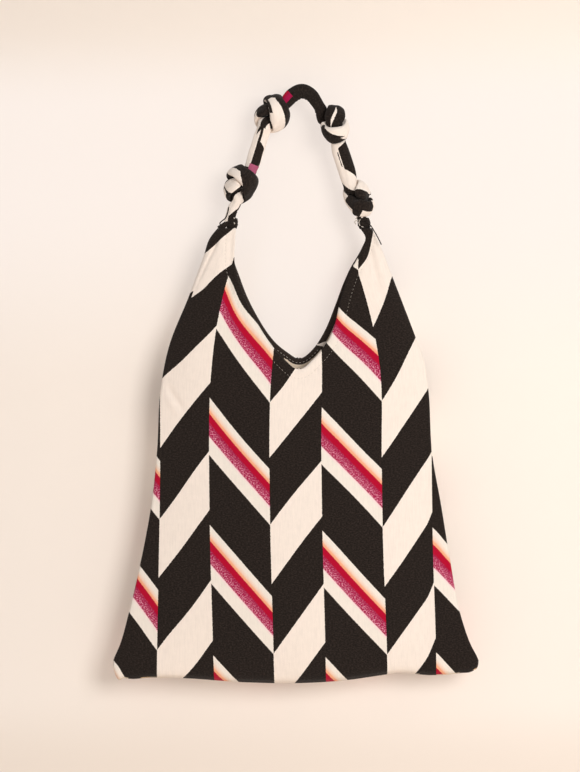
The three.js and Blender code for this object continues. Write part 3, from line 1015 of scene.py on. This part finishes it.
def knot_route(x, z, travel, roll, *size):
    """Points of one overhand knot, in millimetres."""
    t = np.linspace(-KNOT_REACH, KNOT_REACH, KNOT_POINTS)
    half = (np.array(size) - STRAP_THICKNESS) / 2
    wound = 1 - smoothstep(np.abs(t), *LOOPS_LET_GO)
    along = half[0] * (t**3 - 3 * t) / 2
    wide = half[1] * (LOOP_OFFSET - np.cos(np.pi * t / LOOP_LENGTH)) * wound
    deep = half[2] * np.sin(np.pi * t / CROSSING_LENGTH) * wound
    turn = Matrix.Rotation(math.radians(travel - 90), 3, "Y") @ Matrix.Rotation(math.radians(roll), 3, "X")
    own = np.stack([along, deep, wide], axis=1)
    return own @ np.array(turn).T + np.array([x, 0, z])


print("a knot is a route of", len(knot_route(0, 0, 0, 0, 42, 37, 34)), "points")

# %% Route of the strap
# Place, the direction of travel from straight up and the turn about it in degrees, then length, width and
# depth in millimetres.
KNOTS = [
    (JOIN_X["left"] + 13, END_Z + 36, 20, 345, 42, 37, 34),
    (-29, -18.5, 42, 325, 42, 37, 34),
    (34, -31, 152, 18, 45, 31, 32),
    (JOIN_X["right"] - 9, END_Z + 20, 164, 352, 42, 32, 32),
]
KNOT_MIDDLES = np.array([(x, 0, z) for x, z, *rest in KNOTS])
END_TUCK = 7.0
# Points that lead from the arch into the upper right knot, and from the lower right knot to the strap's end.
LEAD_IN = [(14, 0, -4), (18, 3, -13), (21, 6, -21)]
LEAD_OUT = (JOIN_X["right"] - 1.5, 0, END_Z - 1)
# Points of the formula left out where those leads replace them.
LEAD_POINTS = 3
ROUTE_SAMPLES = 6000


def strap_route():
    """Points every millimetre along the middle of the strap, in millimetres."""
    low_left, high_left, high_right, low_right = [knot_route(*knot) for knot in KNOTS]
    top = STRAP_THICKNESS / 2
    arch = [(-ARCH_WIDTH / 2, 0, top - ARCH_SAG), (0, 0, top), (ARCH_WIDTH / 2, 0, top - ARCH_SAG)]
    left_end = [(JOIN_X["left"], 0, END_Z - END_TUCK), (JOIN_X["left"], 0, END_Z + STRAP_THICKNESS / 2)]
    right_end = [LEAD_OUT, (JOIN_X["right"], 0, END_Z - END_TUCK)]
    right_knots = [high_right[LEAD_POINTS:], low_right[:-LEAD_POINTS]]
    points = np.concatenate([left_end, low_left, high_left, arch, LEAD_IN, *right_knots, right_end])
    chords = np.linalg.norm(np.diff(points, axis=0), axis=1)
    station = np.concatenate([[0], np.cumsum(np.sqrt(chords))])
    fine = np.linspace(0, station[-1], ROUTE_SAMPLES)
    return spread_along(curve_through(points, station, fine), 0, ROUTE_STEP)


route = strap_route()
print("strap is", len(route) * ROUTE_STEP, "mm long along its middle")

# %% [markdown]
# The formula ties every knot alike, but on the real strap each turn was pulled by hand. A few nudges move
# single turns: each has a place along the strap, a reach on either side over which it fades, and a shift.

# %% Nudge single turns
# Place and reach along the strap, then the shift across, in depth and in height, in millimetres.
NUDGES = [
    (0, 14, -4.5, -2.0, 1.5), (12, 14, -1.0, 0.0, 0.0), (32, 22, -2.5, 0.0, 0.0), (76, 16, 1.0, 0.0, -3.0),
    (106, 18, -5.0, 0.0, 0.0), (267, 16, 0.0, 0.0, -3.0), (416, 24, 3.0, 0.0, 0.0), (466, 24, -5.0, 0.0, 0.0),
    (528, 16, -1.2, 0.0, 0.0), (560, 36, -3.5, 0.0, 0.0), (666, 18, 3.5, 0.0, 0.0),
]
along_route = np.arange(len(route)) * ROUTE_STEP
for place, reach, *shift in NUDGES:
    nearness = np.clip(1 - np.abs(along_route - place) / reach, 0, 1)
    route = route + smoothstep(nearness, 0, 1)[:, None] * np.array(shift)
print("nudged turns:", len(NUDGES))

# %% [markdown]
# A pipe needs a direction at each point of its route that says where its own zero angle is. Carrying the
# direction along from point to point, turning it only as much as the route turns, keeps the cloth's stripes
# from twisting. The roll isn't round: between the knots it lies flatter, wider than it is deep, and in a knot
# each turn is drawn flat against the turns below it.

# %% Directions along the route
STRAP_SIDES = 36
FLAT_WIDTH = 1.1
FLAT_DEPTH = 0.70
# Length along the strap in millimetres, and its girth there as a share of the usual one.
GIRTH = smooth_curve([
    (0, 0.52), (7, 0.66), (17, 0.72), (30, 0.68), (45, 0.74), (60, 1), (75, 1), (200, 1), (370, 1), (385, 1),
    (402, 0.84), (425, 0.66), (445, 0.95), (460, 1), (475, 1), (550, 1), (562, 1.12), (588, 1.15),
    (606, 1.06), (618, 1), (715, 1), (726, 1), (737, 0.6), (744, 0.6),
])
WRAP_WIDTH = 1.75
WRAP_DEPTH = 1.0
# Distances in millimetres from a knot's middle at which the strap leaves it, and from a knot's axis at which
# a turn is pressed flat.
LEAVES_KNOT = (17, 28)
PRESSED_FLAT = (2, 7)
TINY = 1e-9


def unit(vectors):
    """Each vector made one long."""
    return vectors / np.maximum(np.linalg.norm(vectors, axis=-1, keepdims=True), TINY)


def carried_directions(points, first):
    """Tangents, and two directions square to them that turn no more than the route does."""
    tangent = unit(np.gradient(points, axis=0))
    normal = np.zeros_like(points)
    current = np.array(first, float)
    for index, along in enumerate(tangent):
        current = unit(current - along * np.dot(current, along))
        normal[index] = current
    return tangent, normal, np.cross(tangent, normal)


def rays_round(normal, binormal, sides):
    """Directions round the route at each of its points: one full turn, which ends where it starts."""
    angle = np.linspace(0, 2 * np.pi, sides + 1)[None, :, None]
    return np.cos(angle) * normal[:, None] + np.sin(angle) * binormal[:, None]


def flattened(ray, way, width, depth):
    """The rays drawn out sideways and pressed along the way, ring by ring."""
    pressed = np.sum(ray * way[:, None], axis=2, keepdims=True) * way[:, None]
    return width * (ray - pressed) + depth * pressed


def strap_rings(points):
    """The pipe's points before it is squeezed, ring by ring, in millimetres."""
    tangent, normal, binormal = carried_directions(points, (0, -1, 0))
    ray = rays_round(normal, binormal, STRAP_SIDES)
    from_knots = points[:, None] - KNOT_MIDDLES[None]
    nearest = np.argmin(np.linalg.norm(from_knots, axis=2), axis=1)
    outward = from_knots[np.arange(len(points)), nearest]
    straight = smoothstep(np.linalg.norm(outward, axis=1), *LEAVES_KNOT)[:, None, None]
    outward = outward - tangent * np.sum(outward * tangent, axis=1, keepdims=True)
    wound = smoothstep(np.linalg.norm(outward, axis=1), *PRESSED_FLAT)[:, None, None]
    facing_front = np.array([0.0, 1.0, 0.0]) - tangent * tangent[:, 1:2]
    flat = flattened(ray, unit(facing_front), FLAT_WIDTH, FLAT_DEPTH)
    wrap = flattened(ray, unit(outward), 1 + (WRAP_WIDTH - 1) * wound, WRAP_DEPTH)
    shaped = wrap + (flat - wrap) * straight
    girth = GIRTH(np.arange(len(points)) * ROUTE_STEP)
    return points[:, None] + STRAP_THICKNESS / 2 * girth[:, None, None] * shaped


rings = strap_rings(route)
print("strap has", rings.shape[0], "rings of", rings.shape[1] - 1, "points")

# %% Squeeze the turns against each other
# Steps along the route that still belong to one turn, how near another turn is looked at in strap
# thicknesses, and the crease between two turns in millimetres.
SAME_TURN = 15
NEAR_TURNS = 3
CREASE = 0.3
SQUEEZE_ROUNDS = 3
SMOOTH_ROUNDS = 3


def squeezed(rings, points):
    """Pushes each point back to the halfway plane between its own turn and the turn it runs into."""
    stations = np.arange(len(points))
    for index, centre in enumerate(points):
        other = np.abs(stations - index) > SAME_TURN
        near = other & (np.linalg.norm(points - centre, axis=1) < NEAR_TURNS * STRAP_THICKNESS)
        if not near.any():
            continue
        others = points[near]
        away = np.linalg.norm(rings[index][:, None] - others[None], axis=2)
        way = others[np.argmin(away, axis=1)] - centre
        gap = np.linalg.norm(way, axis=1, keepdims=True)
        way = unit(way)
        past = np.sum((rings[index] - centre) * way, axis=1, keepdims=True) - gap / 2 + CREASE
        rings[index] -= np.clip(past, 0, None) * way
    return rings


def eased(rings):
    """Each point moved halfway to the middle of its four neighbours."""
    ring = rings[:, :-1]
    beside = (np.roll(ring, 1, axis=1) + np.roll(ring, -1, axis=1)) / 2
    along = ring.copy()
    along[1:-1] = (ring[2:] + ring[:-2]) / 2
    ring = (ring + (beside + along) / 2) / 2
    return np.concatenate([ring, ring[:, :1]], axis=1)


for _ in range(SQUEEZE_ROUNDS):
    rings = squeezed(rings, route)
for _ in range(SMOOTH_ROUNDS):
    rings = eased(rings)
print("strap squeezed to", np.round(rings.min(axis=(0, 1)), 1), np.round(rings.max(axis=(0, 1)), 1), "mm")

# %% [markdown]
# Rolled cloth shows the edges of its layers as lines along the strap, and it puckers on the inside of every
# bend. Grooves at a few angles, which wander a little, make the layers, and short waves across the inner side
# make the puckers. Slower waves both ways crumple the whole strap a little, so that it doesn't look like a
# hose.

# %% Layers and puckers
# Angle in turns, wander in turns, depth and width in millimetres.
LAYER_EDGES = [(0.18, 0.05, 1.1, 1.2), (0.52, 0.07, 0.7, 1.6), (0.83, 0.06, 0.6, 1.4)]
PUCKER_DEPTH = 0.5
PUCKER_LENGTH = 5.0
CRUMPLE = 0.55
STRAP_ROUND = 44.0
# Millimetres along the strap in which a wave turns by one radian.
WANDER_SLOW = 31.0
WANDER_QUICK = 13.7
CRUMPLE_SHORT = (4.3, 7.1)
CRUMPLE_LONG = (9.0, 17.0)


def layered(rings, points):
    """The rings with grooves along them and puckers across the inside of each bend."""
    middle = rings[:, :-1].mean(axis=1, keepdims=True)
    outward = unit(rings - middle)
    station = np.arange(len(points))[:, None] * ROUTE_STEP
    turn = np.linspace(0, 1, rings.shape[1])[None]
    push = np.zeros(rings.shape[:2])
    for angle, wander, depth, width in LAYER_EDGES:
        swerve = np.sin(station / WANDER_SLOW + 9 * angle) + np.sin(station / WANDER_QUICK) / 3
        line = angle + wander * swerve
        aside = (turn - line + 0.5) % 1.0 - 0.5
        push -= depth * np.exp(-((aside * STRAP_ROUND / width) ** 2))
    bend = np.gradient(unit(np.gradient(points, axis=0)), axis=0)
    inner = np.clip(np.sum(outward * bend[:, None], axis=2) * STRAP_THICKNESS, 0, 1)
    push += PUCKER_DEPTH * inner * np.sin(2 * np.pi * station / PUCKER_LENGTH + 2 * np.sin(9 * turn))
    round_it = 2 * np.pi * turn
    short_1, short_2 = (station / length for length in CRUMPLE_SHORT)
    long_1, long_2 = (station / length for length in CRUMPLE_LONG)
    crumple = np.sin(short_1 + 2 * np.sin(round_it)) * np.cos(2 * round_it + long_1)
    crumple = crumple + np.sin(short_2 - 3 * np.cos(round_it)) * np.cos(3 * round_it - long_2)
    push += CRUMPLE * crumple / 2 * np.abs(np.sin(round_it))
    return rings + outward * push[:, :, None]


rings = eased(layered(rings, route))
print("grooves along the strap:", len(LAYER_EDGES))

# %% Strap finish
DULL_PINK = screen_colour(172, 86, 114)
# Start and end along the strap in millimetres, start and width round it in turns, slant in millimetres a
# turn, and colour.
STRAP_PATCHES = [
    (0, 56, 0.70, 0.60, 0, CREAM), (-30, 8, 0.95, 0.40, -64, BLACK), (23, 50, 0.75, 0.32, -45, BLACK),
    (60, 77, 0.61, 0.31, -48, CREAM), (84, 104, 0.98, 0.22, 40, CREAM),
    (139, 152, 0.42, 0.28, -12, CREAM), (133, 139, 0.48, 0.12, 0, CREAM),
    (120, 138, 0.02, 0.24, 30, CREAM), (172, 228, 0.30, 0.26, 0, CREAM),
    (172, 228, 0.785, 0.12, 0, CREAM), (203, 226, 0.62, 0.32, 40, CREAM),
    (167, 177, 0.54, 0.30, 0, DULL_PINK), (209, 214, 0.46, 0.20, -60, BLACK),
    (180, 222, 0.08, 0.12, 0, CREAM), (217, 232, 0.52, 0.14, 0, BLACK), (254, 312, 0.86, 0.62, 0, CREAM),
    (330, 376, 0.68, 0.47, 222, BLACK), (269, 283, 0.27, 0.11, 0, BLACK),
    (262, 318, 0.68, 0.33, 0, BLACK), (250, 269, 0.68, 0.70, 0, BLACK), (316, 333, 0.14, 0.32, 0, CREAM),
    (354, 372, 0.85, 0.42, 0, MAGENTA), (364, 372, 0.98, 0.16, 0, CRIMSON),
    (384, 420, 0.52, 0.24, 30, CREAM), (446, 490, 0.98, 0.26, 0, CREAM),
    (430, 455, 0.72, 0.30, -58, CREAM), (464, 500, 0.93, 0.20, -94, BLACK),
    (486, 493, 0.98, 0.24, 0, CREAM), (548, 618, 0.50, 0.60, 0, CREAM), (550, 601, 0.56, 0.29, 48, BLACK),
    (544, 554, 0.50, 0.60, -29, CREAM), (568, 584, 0.87, 0.018, 0, BLACK),
    (618, 640, 0.66, 0.40, 47, BLACK), (566, 606, 0.20, 0.16, 0, CREAM),
    (521, 527, 0.79, 0.09, -133, CREAM), (541, 546, 0.50, 0.52, 0, CREAM),
    (624, 640, 0.50, 0.22, 0, CREAM), (634, 684, 0.10, 0.60, 0, CREAM),
    (643.5, 672, 0.32, 0.40, 0, BLACK), (651, 658, 0.20, 0.13, 0, BLACK),
    (660, 681, 0.47, 0.25, 0, BLACK), (628, 641, 0.60, 0.12, 0, BLACK), (640, 651, 0.27, 0.13, 0, CREAM),
    (692, 708, 0.12, 0.42, 0, CREAM), (722, 734, 0.12, 0.05, 0, CREAM), (720, 735, 0.30, 0.06, 0, CREAM),
    (720, 734, 0.50, 0.08, 0, CREAM),
]

strap_finish, tree, shader = new_finish("rolled_cotton", COTTON_ROUGHNESS)
wobbly_x, wobbly_z, plain_x, plain_z = fabric_place(tree)
colour = BLACK
for start, end, turn_start, turn_width, slant, patch_colour in STRAP_PATCHES:
    turned = reckon(tree, "MULTIPLY_ADD", wobbly_x, 1 / (STRAP_ROUND * MM), 2.0 - turn_start)
    past_start = reckon(tree, "FRACT", turned)
    beside = reckon(tree, "LESS_THAN", past_start, turn_width)
    slanted = reckon(tree, "MULTIPLY_ADD", past_start, slant * MM, wobbly_z)
    from_middle = reckon(tree, "ABSOLUTE", reckon(tree, "SUBTRACT", slanted, (start + end) / 2 * MM))
    along = reckon(tree, "LESS_THAN", from_middle, (end - start) / 2 * MM)
    colour = mix_colour(tree, reckon(tree, "MULTIPLY", beside, along), colour, patch_colour)
yarn_finish(tree, shader, colour, 0.0, plain_x, plain_z, COTTON_BUMP)
print("strap finish has", len(tree.nodes), "nodes")

# %% Build the strap
PIPE_WELD = 0.001 * MM


def rolled_grid(bm, rings, uv=None):
    """A grid rolled into a pipe through the rings, with both ends closed, and its length and girth as UV."""
    count, around = rings.shape[0] - 1, rings.shape[1] - 1
    grid = bmesh.ops.create_grid(bm, x_segments=count, y_segments=around, size=0.5)["verts"]
    cell = {}
    for vert in grid:
        cell[vert] = (round((vert.co.x + 0.5) * count), round((vert.co.y + 0.5) * around))
    if uv:
        for face in {face for vert in grid for face in vert.link_faces}:
            for loop in face.loops:
                ring, turn = cell[loop.vert]
                loop[uv].uv = (turn / around * STRAP_ROUND * MM, ring * ROUTE_STEP * MM)
    for vert, (ring, turn) in cell.items():
        vert.co = rings[ring, turn] * MM
    bmesh.ops.remove_doubles(bm, verts=grid, dist=PIPE_WELD)
    edges = [edge for edge in bm.edges if edge.is_boundary]
    bmesh.ops.holes_fill(bm, edges=edges, sides=0)


def finish_mesh(name, bm, *finishes):
    """The bmesh as an object of its own, smooth, with its finishes."""
    bmesh.ops.recalc_face_normals(bm, faces=bm.faces)
    for face in bm.faces:
        face.smooth = True
    piece = mesh_object(name, bm)
    for finish in finishes:
        piece.data.materials.append(finish)
    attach(piece, "root")
    return piece


bm = bmesh.new()
strap_uv = bm.loops.layers.uv.new("fabric")
rolled_grid(bm, rings, strap_uv)
rolled_strap = finish_mesh("rolled_strap", bm, strap_finish)
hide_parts("knotted_strap")
print("strap has", len(rolled_strap.data.polygons), "faces")

# %% [markdown]
# ## The gathered joins
#
# Where an ear meets the strap, the cloth is gathered into small pleats, wound with black thread and sewn over
# with a few pale stitches. The pleats are a pipe whose radius waves round its middle, and every thread is a
# thin pipe along its own route: a helix for the winding, a short line for a stitch. A texture of threads on a
# plain cylinder would be quicker, but it would look flat from the side.

# %% Thread finishes
THREAD_ROUGHNESS = 0.9
THREAD_SHEEN = 0.05
FIBRE_SCALE = 1900.0
FIBRE_RANGE = (0.45, 0.75)
FIBRE_BUMP = 0.6
FIBRE_RELIEF = 0.2 * MM


def thread_finish(name, colour, fuzz):
    """Matt cotton thread with fine fibres that catch the light."""
    finish, tree, shader = new_finish(name, THREAD_ROUGHNESS)
    place = add_node(tree, "ShaderNodeTexCoord").outputs["Object"]
    fine = {"Vector": place, "Scale": FIBRE_SCALE, "Detail": 3.0}
    fibre = add_node(tree, "ShaderNodeTexNoise", fine).outputs["Fac"]
    shade = mix_colour(tree, share_between(tree, fibre, *FIBRE_RANGE), colour, fuzz)
    plug(tree, shader.inputs["Base Color"], shade)
    raised = {"Height": fibre, "Strength": FIBRE_BUMP, "Distance": FIBRE_RELIEF}
    plug(tree, shader.inputs["Normal"], add_node(tree, "ShaderNodeBump", raised).outputs[0])
    shader.inputs["Specular IOR Level"].default_value = COTTON_GLOSS
    shader.inputs["Sheen Weight"].default_value = THREAD_SHEEN
    return finish


black_thread = thread_finish("black_thread", BLACK, screen_colour(62, 54, 49))
pale_thread = thread_finish("pale_thread", screen_colour(196, 185, 172), screen_colour(216, 206, 194))
print("threads:", black_thread.name, pale_thread.name)

# %% Pleats and windings
JOIN_FOOT = EAR_TOP_Z / MM - 0.7
JOIN_TOP = END_Z + 1.0
JOIN_DEPTH = 0.92
# A join's girth at its ends, as a share of its usual girth, and how much it gains towards its middle.
BARREL_END = 0.72
BARREL_GAIN = 1.12
JOIN_PLEATS = 9
PLEAT_DEPTH = 0.10
PLEAT_TWIST = 1.3
JOIN_RINGS = 16
JOIN_SIDES = 54
THREAD_SIDES = 6
WINDING_THICKNESS = 1.5
WINDING_TURNS = 5.3
WINDING_STEPS = 130
# Share of the join's height where the winding starts and ends, and how far it lies off the pleats as a share
# of its thickness.
WINDING_ENDS = (0.2, 0.8)
WINDING_LIFT = 0.2
# How much the winding strays, out as a share of the radius and up in millimetres, and how often in a turn.
STRAY_OUT = 0.04
STRAY_OUT_TIMES = 2.3
STRAY_UP = 0.4
STRAY_UP_TIMES = 1.7
# Any direction that no thread runs along.
THREAD_ZERO = (0.31, 0.52, 0.79)


def barrel(height, girth):
    """A join's radius at a share of its height: fullest in the middle."""
    return girth / 2 * (BARREL_END + BARREL_GAIN * height * (1 - height))


def round_join(x, angle, radius, height):
    """Places round a join's middle at a share of its height, in millimetres."""
    up = JOIN_FOOT + (JOIN_TOP - JOIN_FOOT) * height
    places = np.broadcast_arrays(x + radius * np.cos(angle), JOIN_DEPTH * radius * np.sin(angle), up)
    return np.stack(places, axis=-1)


def pleated_rings(x, girth):
    """Rings of the gathered cloth in one join, from its foot to its top, in millimetres."""
    height = np.linspace(0, 1, JOIN_RINGS)[:, None]
    angle = np.linspace(0, 2 * np.pi, JOIN_SIDES + 1)[None]
    pleats = 1 + PLEAT_DEPTH * np.cos(JOIN_PLEATS * angle + PLEAT_TWIST * height)
    return round_join(x, angle, barrel(height, girth) * pleats, height)


def winding_route(x, girth, slope):
    """The winding's route round one join: turns that lie a little unevenly."""
    angle = np.linspace(0, 2 * np.pi * WINDING_TURNS, WINDING_STEPS)
    height = np.linspace(*WINDING_ENDS, WINDING_STEPS)
    radius = barrel(height, girth) * (1 + STRAY_OUT * np.sin(STRAY_OUT_TIMES * angle))
    route = round_join(x, angle, radius + WINDING_LIFT * WINDING_THICKNESS, height)
    route[:, 2] += slope * np.cos(angle) + STRAY_UP * np.sin(STRAY_UP_TIMES * angle)
    return route


def thread_rings(points, thickness):
    """A thin round pipe along the points."""
    points = np.array(points, float)
    tangent, normal, binormal = carried_directions(points, THREAD_ZERO)
    return points[:, None] + thickness / 2 * rays_round(normal, binormal, THREAD_SIDES)


print("a winding takes", WINDING_TURNS, "turns of thread")

# %% Build the joins
# Middle across and girth of each join, and the slope of its winding, in millimetres.
JOINS = {"left": (-76.2, 11.0, 1.2), "right": (67.8, 12.6, -1.0)}
# Points of each pale stitch on the joins, in millimetres from the strap's end.
JOIN_STITCHES = {
    "left": [[(1.2, -6.0, 1.0), (1.7, -6.0, -0.6)], [(1.4, -6.0, -4.6), (2.0, -6.0, -6.4)]],
    "right": [
        [(-3.2, -5.6, -1.0), (-4.6, -4.6, -4.5), (-3.6, -5.4, -8.2)],
        [(-1.8, -6.2, -9.0), (0.2, -6.6, -9.8)],
        [(-4.5, -3.0, 1.6), (-8.4, -2.6, -0.6)],
        [(-4.5, -3.0, -1.6), (-9.2, -2.6, -3.4), (-7.6, -2.6, -6.4)],
    ],
}
# Black cords on each join: a roll of cloth from the left ear's corner up to its join, and the loose ends of
# thread. The thickness of each in millimetres, and its points, in millimetres from the strap's end.
ROLL_THICKNESS = 6.2
LOOSE_END_THICKNESS = 1.3
BLACK_CORDS = {
    "left": [
        (ROLL_THICKNESS, [(-15.5, -1.5, -11.2), (-10.0, -2.0, -7.6), (-4.0, -2.0, -3.6)]),
        (LOOSE_END_THICKNESS, [
            (-4.4, -5.0, 12.4), (-5.6, -5.6, 6.4), (-8.0, -5.2, 0.4), (-14.2, -4.0, -5.1),
            (-11.6, -4.4, -8.2),
        ]),
    ],
    "right": [
        (LOOSE_END_THICKNESS, [
            (2.5, -6.6, -3.5), (7.4, -8.0, -7.2), (13.3, -10.5, -16.8), (17.0, -12.0, -24.0),
            (19.6, -12.5, -29.3),
        ]),
    ],
}
CORD_STEPS = 24
STITCH_THICKNESS = 1.1
STITCH_STEPS = 9


def add_cord(bm, side, offsets, thickness, steps):
    """A thin pipe on a smooth curve through points that are given from the strap's end on that side."""
    points = np.array(offsets, float) + np.array([JOIN_X[side], 0, END_Z])
    fine = np.linspace(0, len(points) - 1, steps)
    rolled_grid(bm, thread_rings(curve_through(points, np.arange(len(points)), fine), thickness))


for side, (middle, girth, slope) in JOINS.items():
    bm = bmesh.new()
    rolled_grid(bm, pleated_rings(middle, girth))
    rolled_grid(bm, thread_rings(winding_route(middle, girth, slope), WINDING_THICKNESS))
    for thickness, offsets in BLACK_CORDS[side]:
        add_cord(bm, side, offsets, thickness, CORD_STEPS)
    black_faces = set(bm.faces)
    for offsets in JOIN_STITCHES[side]:
        add_cord(bm, side, offsets, STITCH_THICKNESS, STITCH_STEPS)
    for face in set(bm.faces) - black_faces:
        face.material_index = 1
    join = finish_mesh("gathered_join_" + side, bm, black_thread, pale_thread)
    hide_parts("strap_join_" + side)
    print(join.name, len(join.data.polygons), "faces")

# %% [markdown]
# ## Stitches along the neck
#
# The hem is sewn with pale thread, a stitch every four millimetres, which shows best on the black cloth
# inside the bottom of the neck and has sunk into the cloth elsewhere on the inside. Each stitch is a small
# ball drawn out to a dash. The line of stitches follows the neck's edge at about the hem's width, and a ray
# cast through the cloth finds the height of its surface at each stitch.

# %% Stitch places
STITCH_PITCH = 4.0
STITCH_LENGTH = 2.5
STITCH_HEIGHT = 0.45
STITCHED_SHARE = 0.96
# Stretches of the front neck where the thread has sunk into pale cloth, and the stretch of both necks where
# it shows on the inside, from and to across the bag.
HIDDEN_STITCHES = [(-68, -32), (40, 47)]
INNER_STITCHES = (-28, 18)
RAY_REACH = 0.1


def stitch_line(panel, inset):
    """Evenly spaced stitches at the inset from the neck's edge: across and drop, in millimetres."""
    line = neck_line(panel)
    way = unit(np.gradient(line, axis=0))
    inward = np.stack([-way[:, 1], way[:, 0]], axis=1)
    beside = line + inset * inward
    sewn = beside[:, 1] > panel.neck_drop + (EAR_DROP - panel.neck_drop) * STITCHED_SHARE
    spread = spread_along(beside[sewn], STITCH_PITCH / 2, STITCH_PITCH)
    if panel is FRONT:
        for start, end in HIDDEN_STITCHES:
            spread = spread[(spread[:, 0] < start) | (spread[:, 0] > end)]
    return spread


print("stitches on the front neck:", len(stitch_line(FRONT, FRONT.hem)))

# %% Build the stitches
def sew(bm, tree, line, width, from_y, toward_y):
    """One stitch at each place of the line, lying on the cloth that the ray meets."""
    ahead = unit(np.gradient(line, axis=0))
    for (across, drop), (run_x, run_drop) in zip(line, ahead):
        start = Vector((across * MM, from_y, DROP_ZERO_Z - drop * MM))
        place, normal, face, distance = tree.ray_cast(start, Vector((0, toward_y, 0)), RAY_REACH)
        if place is None:
            continue
        along = Vector((run_x, 0, -run_drop))
        along = (along - normal * along.dot(normal)).normalized()
        turn = Matrix((along, normal.cross(along), normal)).transposed().to_4x4()
        size = Matrix.Diagonal((STITCH_LENGTH * MM, width * MM, STITCH_HEIGHT * MM, 1.0))
        laid = Matrix.Translation(place) @ turn @ size
        bmesh.ops.create_icosphere(bm, subdivisions=1, radius=0.5, matrix=laid)


FRONT_STITCH_WIDTH = 0.32
BACK_STITCH_WIDTH = 0.6
BACK_STITCH_INSET = BACK.hem - 1.8
# The cloth and its panel, how far its stitches lie from the neck's edge and how wide they are.
SEAMS = {
    "front": (front_cloth, FRONT, FRONT.hem, FRONT_STITCH_WIDTH),
    "back": (back_cloth, BACK, BACK_STITCH_INSET, BACK_STITCH_WIDTH),
}
for name, (piece, panel, inset, width) in SEAMS.items():
    bm = bmesh.new()
    tree = BVHTree.FromObject(piece, bpy.context.evaluated_depsgraph_get())
    line = stitch_line(panel, inset)
    sew(bm, tree, line, width, panel.facing * RAY_REACH / 2, -panel.facing)
    inner = line[(line[:, 0] > INNER_STITCHES[0]) & (line[:, 0] < INNER_STITCHES[1])]
    sew(bm, tree, inner, width, 0.0, panel.facing)
    finish_mesh("neck_stitches_" + name, bm, pale_thread)
